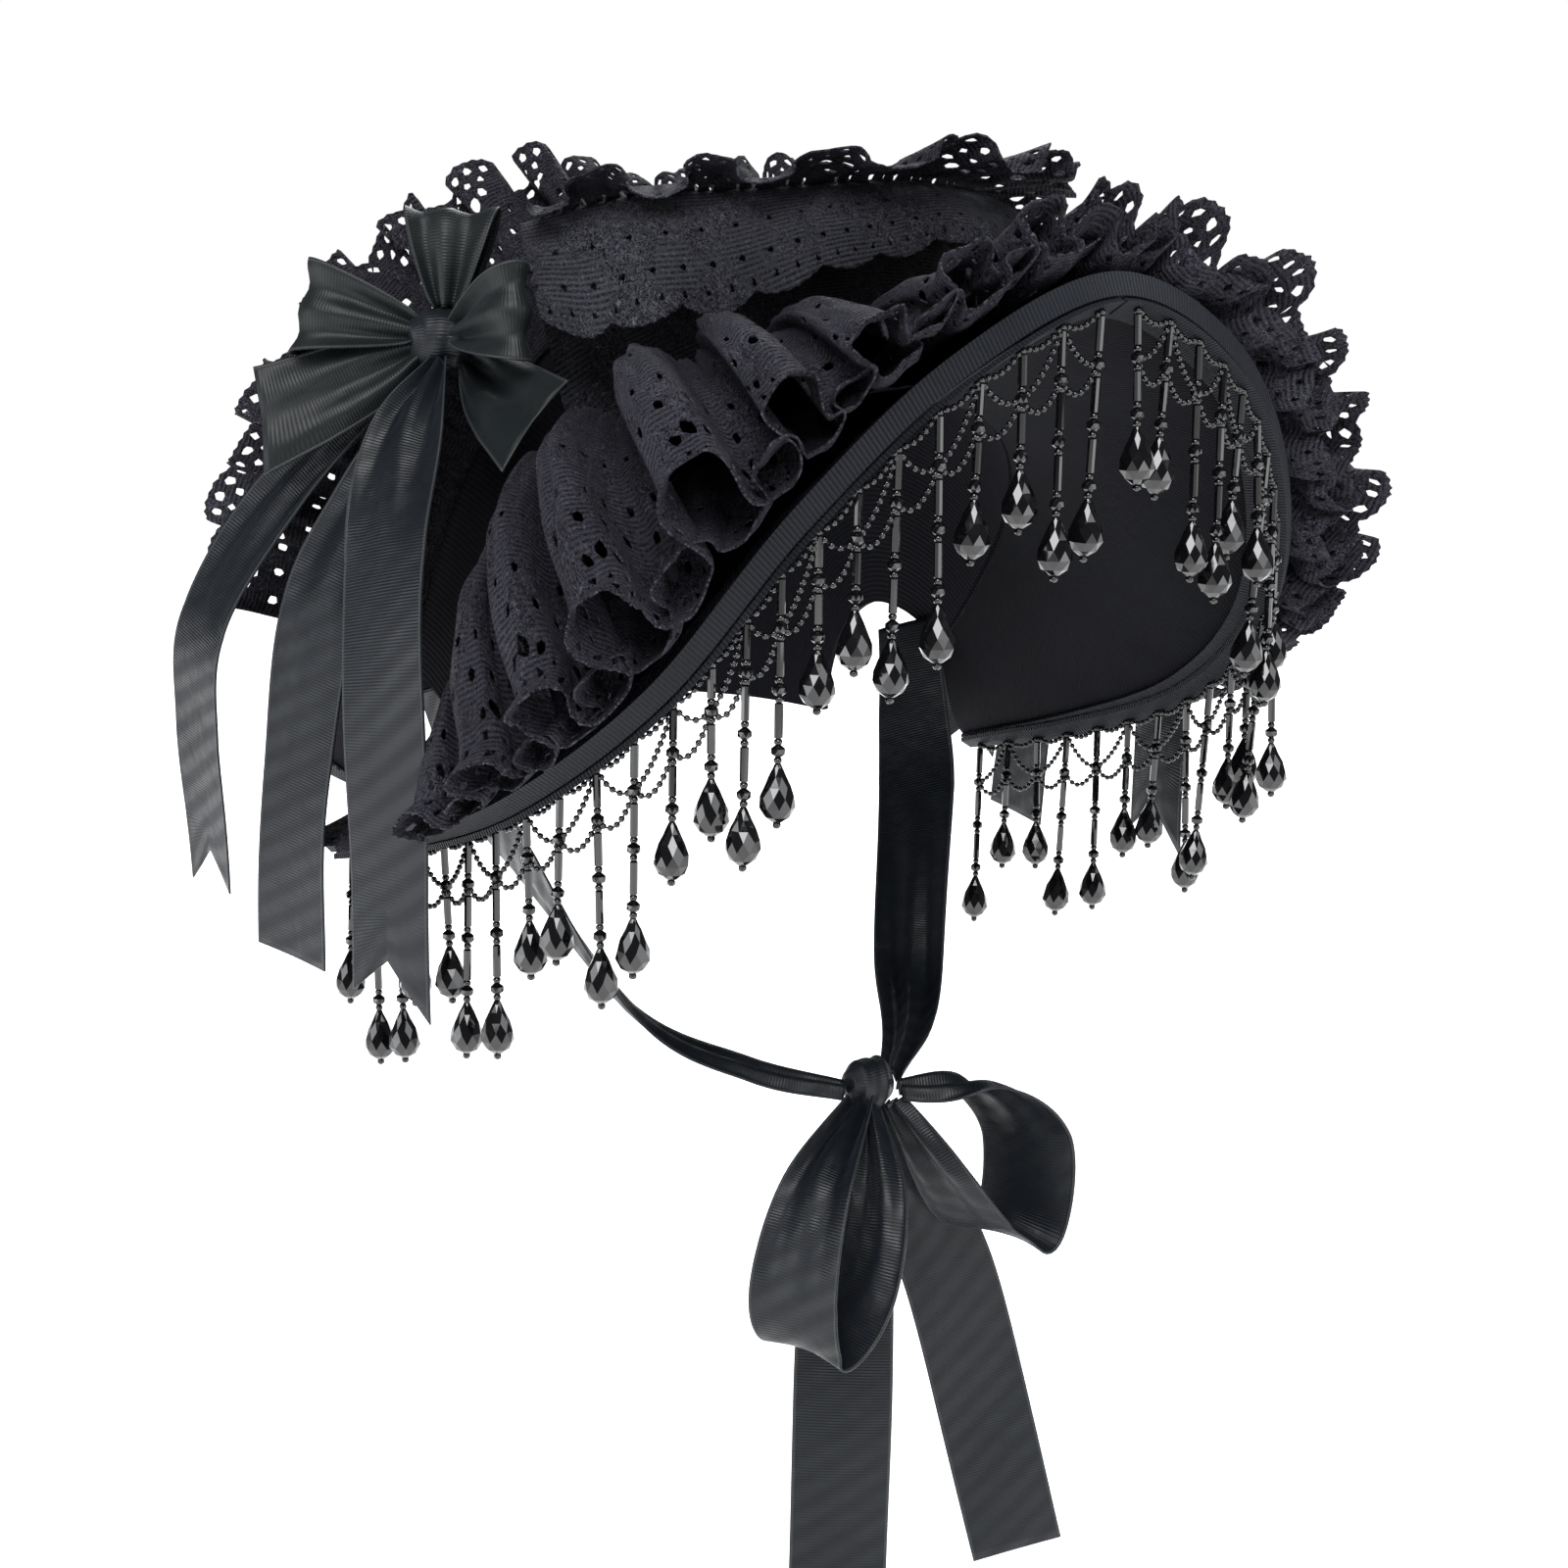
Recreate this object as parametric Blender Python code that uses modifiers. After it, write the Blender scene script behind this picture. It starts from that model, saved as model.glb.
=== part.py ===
# Lace bonnet: stiff arched brim, hood crown, three gathered lace tiers, side bows with
# streamers, a bead fringe along the brim and a chin ribbon tied in a bow.
# The wearer faces -Y, +X is the wearer's left, +Z up, and the origin is where the top of
# the head meets the inside of the crown.
import math

import bmesh
import bpy
import numpy as np
from mathutils import Vector

MM = 0.001

# Crown, a hood swept about a line through the two lower corners of the hem
CROWN_HALF_WIDTH = 84 * MM
CROWN_WALL = 2 * MM
HEM_DEPTH = 140 * MM
HEM_SETBACK = 5 * MM
CROWN_FRONT_REACH = 137 * MM
CROWN_BACK_REACH = 100 * MM
CROWN_FULLNESS = 0.6
FRONT_LINE_ANGLE = math.radians(50)
SIDE_ANGLE = math.radians(84)
CROWN_ROWS = (57, 62, 76, 100, 126, 152, 180)

# Brim, from the crown's front line out to the beaded edge
BRIM_HALF_WIDTH = 113 * MM
BRIM_REACH = 155 * MM
BRIM_DROP = 144 * MM
BRIM_WALL = 2.4 * MM
BRIM_DISH = 5 * MM
SEAM_GAP = 0.4 * MM

# The edge of the brim on the wearer's left, as shares of the three sizes above
EDGE_ROWS = (
    # along, out, forward, down
    (0 / 6, 0.00, 1.00, 0.035),
    (1 / 6, 0.38, 0.98, 0.145),
    (2 / 6, 0.67, 0.91, 0.355),
    (3 / 6, 0.87, 0.79, 0.610),
    (4 / 6, 0.99, 0.57, 0.805),
    (5 / 6, 1.00, 0.29, 0.925),
    (6 / 6, 0.975, 0.01, 1.000),
)

# Edge binding of ribbed ribbon, folded over the brim
BINDING_WALL = 1 * MM
BINDING_SHARE = 0.9
SEWN_GAP = 0.5 * MM

# Bead fringe on a tape under the binding
STRANDS_PER_SIDE = 23
TAPE_WIDTH = 6 * MM
TAPE_WALL = 1 * MM
BEAD_SIDES = 5
BUGLE_RADIUS = 1.15 * MM
SHORT_STRAND = 38 * MM
LONG_STRAND = 53 * MM
RONDELLE_RADIUS = 2.4 * MM
RONDELLE_LENGTH = 3.2 * MM
SEED_LENGTH = 1.4 * MM
DROP_LENGTH = 12.4 * MM
DROP_RADIUS = 4 * MM
THREAD_RADIUS = 0.8 * MM

# Lace
LACE_WALL = 1 * MM
LACE_CLEARANCE = 1.1 * MM

# Ribbons
RIBBON_WIDTH = 25 * MM
RIBBON_WALL = 1 * MM

BOW_OUT = 88 * MM
LEFT_BOW_SET_IN = 0.8 * MM
BOW_FORWARD = 27 * MM
BOW_DOWN = 20 * MM
KNOT_RADII = (6.4 * MM, 6.4 * MM, 5.6 * MM)
KNOT_REACH = 6.55 * MM
LOOP_LENGTH = 28 * MM
LOOP_SWELL = 6 * MM
LOOP_GAP = 3.4 * MM
TAIL_RISE = 6.5 * MM
STREAMER_FALL = 150 * MM

BOW_LOOPS = (
    # name, angle from the face side, share of the loop length, how far it bends outward
    ("loop_front", 4, 0.88, 1.15),
    ("loop_top", 88, 0.85, 0.0),
    ("loop_back", 168, 1.0, 0.0),
)
BOW_TAILS = (
    # name, angle, share of the loop length, rise at the end, the cut in mm
    ("tail_front", -46, 0.95, 4.2, (0, 3, 9)),
    ("tail_back", 205, 1.35, 0.3, (8, 3, 0)),
)

# Streamers from the bow's knot, as shares of the fall, with the width as a share of the
# ribbon's and the width's direction in degrees outward from straight ahead
FRONT_STREAMER = (
    # out, forward, down, width, turn
    (0.0230, 0.0205, 0.0345, 0.16, -40),
    (0.120, 0.080, 0.130, 0.75, -30),
    (0.215, 0.160, 0.300, 1.00, -14),
    (0.260, 0.225, 0.580, 1.00, -14),
    (0.265, 0.240, 0.940, 1.00, -14),
)
MIDDLE_STREAMER = (
    (0.018, -0.012, 0.044, 0.16, -20),
    (0.130, -0.025, 0.240, 0.80, -16),
    (0.210, -0.050, 0.420, 1.00, -12),
    (0.245, -0.080, 0.700, 1.00, -10),
    (0.245, -0.110, 1.000, 1.00, -10),
)
BACK_STREAMER = (
    (0.004, -0.036, 0.030, 0.16, -20),
    (0.190, -0.190, 0.250, 0.80, -10),
    (0.310, -0.250, 0.450, 1.00, 0),
    (0.310, -0.290, 0.640, 1.00, 4),
    (0.290, -0.310, 0.880, 1.00, 4),
)
STREAMERS = (
    ("streamer_front", FRONT_STREAMER, (5, -4, 9)),
    ("streamer_middle", MIDDLE_STREAMER, (0, 0, 0)),
    ("streamer_back", BACK_STREAMER, (8, -4, 4)),
)

# Chin ribbon, from inside the crown's corners to a bow under the chin
CHIN_FORWARD = 84 * MM
CHIN_DOWN = 208 * MM
CHIN_FALL = 136 * MM
CHIN_KNOT_RADII = (7 * MM, 7 * MM, 5.5 * MM)
CHIN_STRAP = (
    # out, forward, down, width, turn
    (0.585, -0.560, -0.740, 1.00, 0),
    (0.550, -0.500, -0.560, 1.00, 4),
    (0.490, -0.420, -0.400, 1.00, 8),
    (0.340, -0.260, -0.130, 0.80, 20),
    (0.200, -0.110, -0.040, 0.55, 30),
    (0.059, 0.000, 0.000, 0.25, 40),
)
RIGHT_TAIL = (
    (0.026, 0.000, 0.049, 0.20, -54),
    (0.070, 0.030, 0.200, 0.85, -54),
    (0.115, 0.080, 0.480, 1.00, -54),
    (0.150, 0.115, 1.000, 1.00, -54),
)
LEFT_TAIL = (
    (0.026, 0.000, 0.049, 0.20, 54),
    (0.100, -0.030, 0.200, 0.80, 60),
    (0.220, 0.010, 0.450, 1.00, 62),
    (0.345, 0.100, 1.040, 1.00, 58),
)
RIGHT_LOOP = (
    (0.046, 0.036, 0.012, 0.30, -10),
    (0.230, 0.130, 0.110, 0.80, -14),
    (0.310, 0.160, 0.300, 1.00, -16),
    (0.280, 0.165, 0.400, 1.00, -16),
    (0.185, 0.160, 0.330, 1.00, -16),
    (0.110, 0.130, 0.170, 0.80, -20),
    (0.027, 0.029, 0.029, 0.25, -30),
)
LEFT_LOOP = (
    (0.046, 0.036, 0.010, 0.30, 20),
    (0.180, 0.110, 0.010, 0.80, 24),
    (0.290, 0.130, 0.130, 1.00, 24),
    (0.280, 0.130, 0.310, 1.00, 24),
    (0.180, 0.120, 0.290, 1.00, 20),
    (0.090, 0.100, 0.170, 0.80, 16),
    (0.032, 0.034, 0.032, 0.25, 10),
)
CHIN_BOW = (
    ("tail_right", -1, RIGHT_TAIL, 6, (0, 0, 0)),
    ("tail_left", 1, LEFT_TAIL, 6, (0, 0, 0)),
    ("loop_right", -1, RIGHT_LOOP, 10, (0, 0, 0)),
    ("loop_left", 1, LEFT_LOOP, 10, (0, 0, 0)),
)

# Lace tiers. reach is how far along the arch each runs, start and end are shares of the brim.
SCALLOP = 2.5 * MM
FRONT_RUFFLE = dict(
    reach=0.98, cells=90, rows=(0, 0.12, 0.45, 0.8, 1), folds=17, start=0.06, end=0.88,
    side_end=0.20, stand=25 * MM, puff=7 * MM, side_puff=12 * MM, rise=13 * MM,
    side_rise=-1 * MM, depth=10 * MM, side_depth=0 * MM, sag=0.2, side_sag=0.15, sway=3 * MM,
)  # fmt: skip
LACE_BAND = dict(
    reach=0.62, cells=36, rows=(-1, 0, 0.6, 1), folds=9, bow=3 * MM, depth=1.5 * MM,
    turn=math.radians(57),
)  # fmt: skip
OVER_RUFFLE = dict(
    reach=0.58, cells=36, rows=(-1, 0, 0.6, 1), folds=13, behind=3 * MM, lean=48,
    length=20 * MM, side_loss=6 * MM, depth=4.5 * MM, sway=2 * MM, turn=math.radians(62),
)  # fmt: skip
CREST_RUFFLE = dict(
    reach=0.98, cells=74, rows=(0, 0.5, 0.8, 1), folds=17, turn=math.radians(76),
    lift=LACE_CLEARANCE, length=42 * MM, side_length=16 * MM, side_lean=44, top_lean=40,
    upright=0.35, depth=9 * MM, sway=3 * MM,
)  # fmt: skip

# The flat band's two edges on the wearer's left, as shares of the brim's sizes
BAND_BACK = (
    # along, out, forward, down
    (0 / 3, 0.00, 0.54, -0.110),
    (1 / 3, 0.30, 0.48, -0.097),
    (2 / 3, 0.51, 0.36, -0.083),
    (3 / 3, 0.64, 0.23, -0.042),
)
BAND_FRONT = (
    (0 / 3, 0.00, 0.66, -0.010),
    (1 / 3, 0.38, 0.64, 0.055),
    (2 / 3, 0.64, 0.54, 0.111),
    (3 / 3, 0.74, 0.41, 0.125),
)

BLACK_CLOTH = (0.012, 0.013, 0.018, 1)
BLACK_LACE = (0.014, 0.014, 0.020, 1)
BLACK_SATIN = (0.018, 0.021, 0.028, 1)
BLACK_GLASS = (0.008, 0.008, 0.009, 1)


def clear_scene():
    for old in list(bpy.data.objects):
        bpy.data.objects.remove(old)


def collection_named(name):
    made = bpy.data.collections.new(name)
    bpy.context.scene.collection.children.link(made)
    return made


def material(name, colour, roughness):
    made = bpy.data.materials.get(name)
    if made is None:
        made = bpy.data.materials.new(name)
        made.use_nodes = True
        shader = made.node_tree.nodes["Principled BSDF"]
        shader.inputs["Base Color"].default_value = colour
        shader.inputs["Roughness"].default_value = roughness
        shader.inputs["Metallic"].default_value = 0.0
    return made


def unit(v):
    return v / max(np.linalg.norm(v), 1e-12)


def at(x, y, z):
    return np.array((x, y, z), float)


# Curves that the whole bonnet follows, for s from -1 at the wearer's right to 1 at the left


def crown_point(s, turn):
    """A point of the crown's outer surface: turn is the angle from straight ahead, over the top."""
    lateral = SIDE_ANGLE * s
    top_reach = HEM_DEPTH + CROWN_WALL
    reach = CROWN_FRONT_REACH if turn < math.pi / 2 else CROWN_BACK_REACH
    radius = 1 / math.hypot(math.cos(turn) / reach, math.sin(turn) / top_reach)
    radius *= math.cos(lateral) ** CROWN_FULLNESS
    return at(
        CROWN_HALF_WIDTH * math.sin(lateral),
        HEM_SETBACK - radius * math.cos(turn),
        radius * math.sin(turn) - HEM_DEPTH,
    )


def front_line(s):
    return crown_point(s, FRONT_LINE_ANGLE)


def blended(rows, share):
    """The row of a table at this share of its first column, on a smooth curve through its rows."""
    table = np.array(rows, float)
    place = np.clip(share, 0, 1) * (len(table) - 1)
    i = min(int(place), len(table) - 2)
    t = place - i
    before = table[i - 1] if i else table[1] * [-1, -1, 1, 1]
    after = table[i + 2] if i + 2 < len(table) else 2 * table[i + 1] - table[i]
    a, b = table[i], table[i + 1]
    return 0.5 * (
        2 * a
        + (b - before) * t
        + (2 * before - 5 * a + 4 * b - after) * t**2
        + (3 * a - before - 3 * b + after) * t**3
    )


def edge_line(s):
    _, out, forward, down = blended(EDGE_ROWS, abs(s))
    side = -1 if s < 0 else 1
    return at(side * out * BRIM_HALF_WIDTH, -forward * BRIM_REACH, -down * BRIM_DROP)


def brim_frame(s):
    """Along the arch, towards the edge, and out from the brim's upper side, as unit vectors."""
    step = 0.01
    low, high = max(s - step, -1), min(s + step, 1)
    middle = [(front_line(q) + edge_line(q)) / 2 for q in (low, high)]
    along = unit(middle[1] - middle[0])
    forward = unit(edge_line(s) - front_line(s))
    out = unit(np.cross(forward, along))
    return along, unit(np.cross(along, out)), out


def brim_point(s, w):
    """A point of the brim's upper surface, w from 0 at the crown to 1 at the edge."""
    out = brim_frame(s)[2]
    return front_line(s) * (1 - w) + edge_line(s) * w - out * BRIM_DISH * 4 * w * (1 - w)


# Builders


def add_mesh(name, bm, home, finish):
    mesh = bpy.data.meshes.new(name)
    bm.to_mesh(mesh)
    bm.free()
    mesh.materials.append(material(*finish))
    made = bpy.data.objects.new(name, mesh)
    home.objects.link(made)
    return made


def sheet(name, surface, across, along, wall, side, home, finish, hole=None, seam=None):
    """A wall of cloth over a grid. surface(s, w) gives its points, side is -1 to thicken it on
    the side away from the normal and 1 towards it, and hole(i, j) leaves a cell open."""
    bm = bmesh.new()
    points = [[bm.verts.new(surface(s, w)) for w in along] for s in across]
    for i in range(len(across) - 1):
        for j in range(len(along) - 1):
            if hole is None or not hole(i, j):
                a, b = points[i], points[i + 1]
                bm.faces.new((a[j], b[j], b[j + 1], a[j + 1]))
    loose = [v for v in bm.verts if not v.link_faces]
    bmesh.ops.delete(bm, geom=loose, context="VERTS")
    made = add_mesh(name, bm, home, finish)
    solid = made.modifiers.new("wall", "SOLIDIFY")
    solid.thickness = wall
    solid.offset = side
    solid.use_even_offset = False
    made.data.shade_smooth()
    made.data.set_sharp_from_angle(angle=math.radians(50))
    return made


def slab(name, top, under, across, along, home, finish):
    """A closed wall between two surfaces given on the same grid."""
    bm = bmesh.new()
    grids = [[[bm.verts.new(side(s, w)) for w in along] for s in across] for side in (top, under)]
    for grid, turned in zip(grids, (1, -1)):
        for a, b in zip(grid, grid[1:]):
            for j in range(len(along) - 1):
                bm.faces.new((a[j], b[j], b[j + 1], a[j + 1])[::turned])
    upper, lower = grids
    rims = [(a, b, c, d) for a, b, c, d in zip(upper[0], upper[0][1:], lower[0][1:], lower[0])]
    rims += [(d, c, b, a) for a, b, c, d in zip(upper[-1], upper[-1][1:], lower[-1][1:], lower[-1])]
    for j, turned in ((0, -1), (-1, 1)):
        ends = [(g[0][j], g[1][j], h[1][j], h[0][j]) for g, h in zip(zip(upper, upper[1:]), zip(lower, lower[1:]))]
        rims += [end[::turned] for end in ends]
    for rim in rims:
        bm.faces.new(rim)
    bmesh.ops.recalc_face_normals(bm, faces=bm.faces)
    made = add_mesh(name, bm, home, finish)
    made.data.shade_smooth()
    made.data.set_sharp_from_angle(angle=math.radians(50))
    return made


def spread(low, high, cells):
    return [low + (high - low) * i / cells for i in range(cells + 1)]


ARCH_COLUMNS = spread(-1, 1, 40)

CLOTH = ("black_cloth", BLACK_CLOTH, 0.9)
LACE = ("black_lace", BLACK_LACE, 0.95)
SATIN = ("black_satin", BLACK_SATIN, 0.45)
GROSGRAIN = ("black_grosgrain", BLACK_SATIN, 0.7)
GLASS = ("black_glass", BLACK_GLASS, 0.08)


def make_crown(home):
    turns = [FRONT_LINE_ANGLE] + [math.radians(turn) for turn in CROWN_ROWS]
    return sheet("crown", crown_point, spread(-1, 1, 16), turns, CROWN_WALL, -1, home, CLOTH)


def make_brim(home):
    first = SEAM_GAP / np.linalg.norm(edge_line(0) - front_line(0))
    ws = [first * 2, 0.3, 0.6, BINDING_SHARE, 1]

    def under(s, w):
        return brim_point(s, w) - brim_frame(s)[2] * BRIM_WALL

    return slab("brim", brim_point, under, ARCH_COLUMNS, ws, home, CLOTH)


def binding_section(s, clear):
    """The binding across the edge, this far off the brim: over the top, round and back below."""
    along, forward, out = brim_frame(s)
    back, edge = brim_point(s, BINDING_SHARE), edge_line(s) + forward * clear
    under = out * (BRIM_WALL + clear)
    return back + out * clear, edge + out * clear, edge - under, back - under


def make_binding(home):
    def outside(s, w):
        return binding_section(s, SEWN_GAP + BINDING_WALL)[w]

    def inside(s, w):
        return binding_section(s, SEWN_GAP)[w]

    slab("edge_binding", outside, inside, ARCH_COLUMNS, range(4), home, GROSGRAIN)


def lathe(bm, top, profile, sides):
    """A closed turned body below a point. profile is rows of distance down and radius."""
    rings = []
    for down, radius in profile:
        ring = []
        for i in range(sides):
            turn = 2 * math.pi * i / sides
            offset = (radius * math.cos(turn), radius * math.sin(turn), -down)
            ring.append(bm.verts.new(Vector(top) + Vector(offset)))
        rings.append(ring)
    for upper, lower in zip(rings, rings[1:]):
        for i in range(sides):
            j = (i + 1) % sides
            bm.faces.new((upper[i], lower[i], lower[j], upper[j]))
    bm.faces.new(rings[0])
    bm.faces.new(rings[-1][::-1])


def strand_is_long(k):
    """Strands go in pairs, two short and two long. k is 1 for the first on the wearer's left."""
    return (k - 1) // 2 % 2 == 1


def strand_profile(long_one):
    """Radius against distance down: a bugle, a round bead and the faceted drop."""
    bead = SEED_LENGTH + RONDELLE_LENGTH / 2
    down = (LONG_STRAND if long_one else SHORT_STRAND) - DROP_LENGTH
    rows = [(0, BUGLE_RADIUS), (down - 3 * bead, BUGLE_RADIUS)]
    rows += [(down - 2 * bead, RONDELLE_RADIUS), (down - bead, BUGLE_RADIUS)]
    rows.append((down, THREAD_RADIUS))
    for share, width in ((0.42, 0.74), (0.72, 1.0), (1.0, 0.3)):
        rows.append((down + share * DROP_LENGTH, width * DROP_RADIUS))
    return rows


def edge_shares(count):
    """The s of points spaced evenly along one half of the edge, from half a space off centre."""
    fine = np.linspace(0, 1, 400)
    line = np.array([edge_line(s) for s in fine])
    length = np.concatenate([[0], np.cumsum(np.linalg.norm(np.diff(line, axis=0), axis=1))])
    wanted = (np.arange(count) + 0.5) / count * length[-1]
    return np.interp(wanted, length, fine)


def tape_point(s, w, depth=0.5):
    """The tape, sewn under the lower flap of the binding. depth is a share of its wall."""
    lower, back = binding_section(s, 2 * SEWN_GAP + BINDING_WALL + TAPE_WALL * depth)[2:]
    return lower + unit(back - lower) * (0.5 * MM + TAPE_WIDTH * w)


def make_fringe(name, side, home, hidden):
    across = [s for s in ARCH_COLUMNS if s * side >= 0]
    across[across.index(0)] = 0.002 * side

    def upper(s, w):
        return tape_point(s, w, 0)

    def lower(s, w):
        return tape_point(s, w, 1)

    tape = slab(name, upper, lower, across, (0, 1), home, GLASS)
    bm = bmesh.new()
    for k, share in enumerate(edge_shares(STRANDS_PER_SIDE), start=1):
        top = tape_point(side * share, 0.35)
        long_one = strand_is_long(k if side > 0 else 1 - k)
        lathe(bm, top, strand_profile(long_one), BEAD_SIDES)
    bmesh.ops.recalc_face_normals(bm, faces=bm.faces)
    strands = add_mesh(name + "_strands", bm, hidden, GLASS)
    strands.hide_render = True
    strands.display_type = "WIRE"
    joined = tape.modifiers.new("strands", "BOOLEAN")
    joined.operation = "UNION"
    joined.object = strands
    return tape


# Lace tiers. A tier is gathered along the arch, its free edge stands in folds, and every
# other column of that edge stands out as one scallop.


def fold_phase(s, folds):
    """Where in its folds a tier is, with uneven spacing."""
    uneven = 0.012 * math.sin(9.1 * s + 0.6) + 0.007 * math.sin(23 * s)
    return math.pi * folds * (s + uneven)


def fold_share(s):
    return 0.78 + 0.22 * math.sin(13.7 * s + 1.1)


def eased(low, high, value):
    share = min(max((value - low) / (high - low), 0), 1)
    return share * share * (3 - 2 * share)


def scallop(s, tier):
    reach, cells = tier["reach"], tier["cells"]
    return SCALLOP * (round((s + reach) / (2 * reach) * cells) % 2)


def front_ruffle_point(s, w):
    """It stands up from the seam under the flat band, swells out and hangs to the brim's edge in
    deep folds. The bow and its streamers press the two ends flat."""
    f = FRONT_RUFFLE
    along, forward, out = brim_frame(s)
    phase = fold_phase(s, f["folds"])
    side = eased(0.05, 0.36, abs(s))
    stand = side * (1 - eased(0.48, 0.62, abs(s))) * min(w / f["rows"][1], 1) * (1 - w)
    free = 1 - 0.92 * eased(0.62, 0.74, abs(s))
    puff = (f["puff"] + f["side_puff"] * side) * math.sin(math.pi * min(w * 1.1, 1))
    rise = (f["rise"] + f["side_rise"] * side) * w
    fold = (f["depth"] + f["side_depth"] * side) * w**0.8 * fold_share(s) * math.sin(phase)
    height = f["stand"] * stand + (puff + rise + fold) * free
    end = f["end"] + f["side_end"] * side
    place = brim_point(s, f["start"] + (end - f["start"]) * w)
    place += forward * (f["sag"] + f["side_sag"] * side) * height * w
    place += out * (LACE_CLEARANCE * (1 + 1.3 * w) + height)
    place += along * f["sway"] * w * math.sin(2 * phase) * free
    if w == 1:
        place += forward * scallop(s, f)
    return place


def crown_frame(s, turn):
    """Along the arch, backwards over the crown, and out from it, as unit vectors."""
    step = 0.01
    low, high = max(s - step, -1), min(s + step, 1)
    along = unit(crown_point(high, turn) - crown_point(low, turn))
    back = unit(crown_point(s, turn + step) - crown_point(s, turn - step))
    out = unit(np.cross(along, back))
    return along, unit(np.cross(out, along)), out


def band_rails(s):
    """The back and front edges of the flat lace that covers the front ruffle's gathers."""
    side = -1 if s < 0 else 1
    points = []
    for rows in (BAND_BACK, BAND_FRONT):
        _, out, forward, down = blended(rows, abs(s) / LACE_BAND["reach"])
        points.append(
            at(side * out * BRIM_HALF_WIDTH, -forward * BRIM_REACH, -down * BRIM_DROP)
        )
    return points


def band_frame(s):
    back, front = band_rails(s)
    after = band_rails(s + 0.01)
    forward = unit(front - back)
    out = unit(np.cross(forward, after[0] + after[1] - back - front))
    return forward, out


def lace_band_point(s, w):
    f = LACE_BAND
    if w < 0:
        return crown_point(s, f["turn"]) + crown_frame(s, f["turn"])[2] * LACE_CLEARANCE
    back, front = band_rails(s)
    forward, out = band_frame(s)
    lift = f["bow"] * 4 * w * (1 - w) + f["depth"] * w * math.sin(math.pi * f["folds"] * s)
    place = back + (front - back) * w + out * lift
    if w == 1:
        place += forward * scallop(s, f)
    return place


def over_ruffle_point(s, w):
    """A low ruffle that stands along the band's back edge, on a heading behind the band's."""
    f = OVER_RUFFLE
    if w < 0:
        return crown_point(s, f["turn"]) + crown_frame(s, f["turn"])[2] * LACE_CLEARANCE
    forward, out = band_frame(s)
    along = unit(np.cross(out, forward))
    phase = fold_phase(s, f["folds"]) + 0.9
    lean = math.radians(f["lean"])
    length = f["length"] - f["side_loss"] * eased(0, f["reach"], abs(s))
    reach = forward * math.cos(lean) + out * math.sin(lean)
    across = out * math.cos(lean) - forward * math.sin(lean)
    place = band_rails(s)[0] - forward * f["behind"] + reach * length * w
    place += across * f["depth"] * fold_share(s + 0.4) * w * math.sin(phase)
    place += along * f["sway"] * w * math.sin(2 * phase)
    if w == 1:
        place += reach * scallop(s, f)
    return place


def crest_ruffle_point(s, w):
    """Behind the bows and over the crown, lying further back at the top."""
    f = CREST_RUFFLE
    along, back, out = crown_frame(s, f["turn"])
    phase = fold_phase(s, f["folds"]) + 2.0
    lean = math.radians(f["side_lean"] + f["top_lean"] * math.cos(math.pi * s / 2) ** 2)
    side = math.sin(math.pi * min(abs(s) * 1.15, 1)) ** 2
    reach = unit(back * math.sin(lean) + out * math.cos(lean) + at(0, 0, f["upright"] * side))
    across = unit(back * math.cos(lean) - out * math.sin(lean))
    length = f["length"] + f["side_length"] * eased(0.1, 0.8, abs(s))
    place = crown_point(s, f["turn"]) + out * f["lift"] + reach * length * w
    place += across * f["depth"] * fold_share(s + 0.8) * w * math.sin(phase)
    place += along * f["sway"] * w * math.sin(2 * phase)
    if w == 1:
        place += reach * scallop(s, f)
    return place


def make_tier(name, surface, tier, home):
    def eyelet(i, j):
        return j == len(tier["rows"]) - 3 and i % 3 == 1

    across = spread(-tier["reach"], tier["reach"], tier["cells"])
    return sheet(name, surface, across, tier["rows"], LACE_WALL, 0, home, LACE, hole=eyelet)


# Ribbons. A ribbon follows rows of a centre point, the direction of its width and the width.


def ribbon(name, rows, cut, home, finish):
    """cut is how far the end runs on at the first edge, the middle and the second edge."""
    centres = [np.array(row[0]) for row in rows]
    last = len(rows) - 1
    spots = []
    for i, (_, direction, width) in enumerate(rows):
        run = unit(centres[min(i + 1, last)] - centres[max(i - 1, 0)])
        turned = unit(direction - run * np.dot(direction, run))
        spots.append((turned * width / 2, np.cross(run, turned) * RIBBON_WALL / 2, run))

    def side(i, j, sign):
        half, face, run = spots[i]
        return centres[i] + half * j + face * sign + run * (cut[j + 1] if i == last else 0)

    return slab(
        name,
        lambda i, j: side(i, j, 1),
        lambda i, j: side(i, j, -1),
        range(len(rows)),
        (-1, 0, 1),
        home,
        finish,
    )


def smooth_rows(rows, steps):
    """More rows between those of a table, on a smooth curve."""
    table = [(i, *row) for i, row in enumerate(rows)]
    return [blended_open(table, i / steps)[1:] for i in range(steps + 1)]


def blended_open(rows, share):
    table = np.array(rows, float)
    place = np.clip(share, 0, 1) * (len(table) - 1)
    i = min(int(place), len(table) - 2)
    t = place - i
    a, b = table[i], table[i + 1]
    before = table[i - 1] if i else 2 * a - b
    after = table[i + 2] if i + 2 < len(table) else 2 * b - a
    return 0.5 * (
        2 * a
        + (b - before) * t
        + (2 * before - 5 * a + 4 * b - after) * t**2
        + (3 * a - before - 3 * b + after) * t**3
    )


def hung_ribbon(name, origin, side, size, table, steps, cut, home):
    """A ribbon from a table whose lengths are shares of a size, on this side of the bonnet."""
    rows = []
    for out, forward, down, width, turn in smooth_rows(table, steps):
        centre = origin + at(side * out, -forward, -down) * size
        turn = math.radians(turn)
        direction = at(side * math.sin(turn), -math.cos(turn), 0)
        rows.append((centre, direction, width * RIBBON_WIDTH))
    return ribbon(name, rows, cut, home, SATIN)


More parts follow.
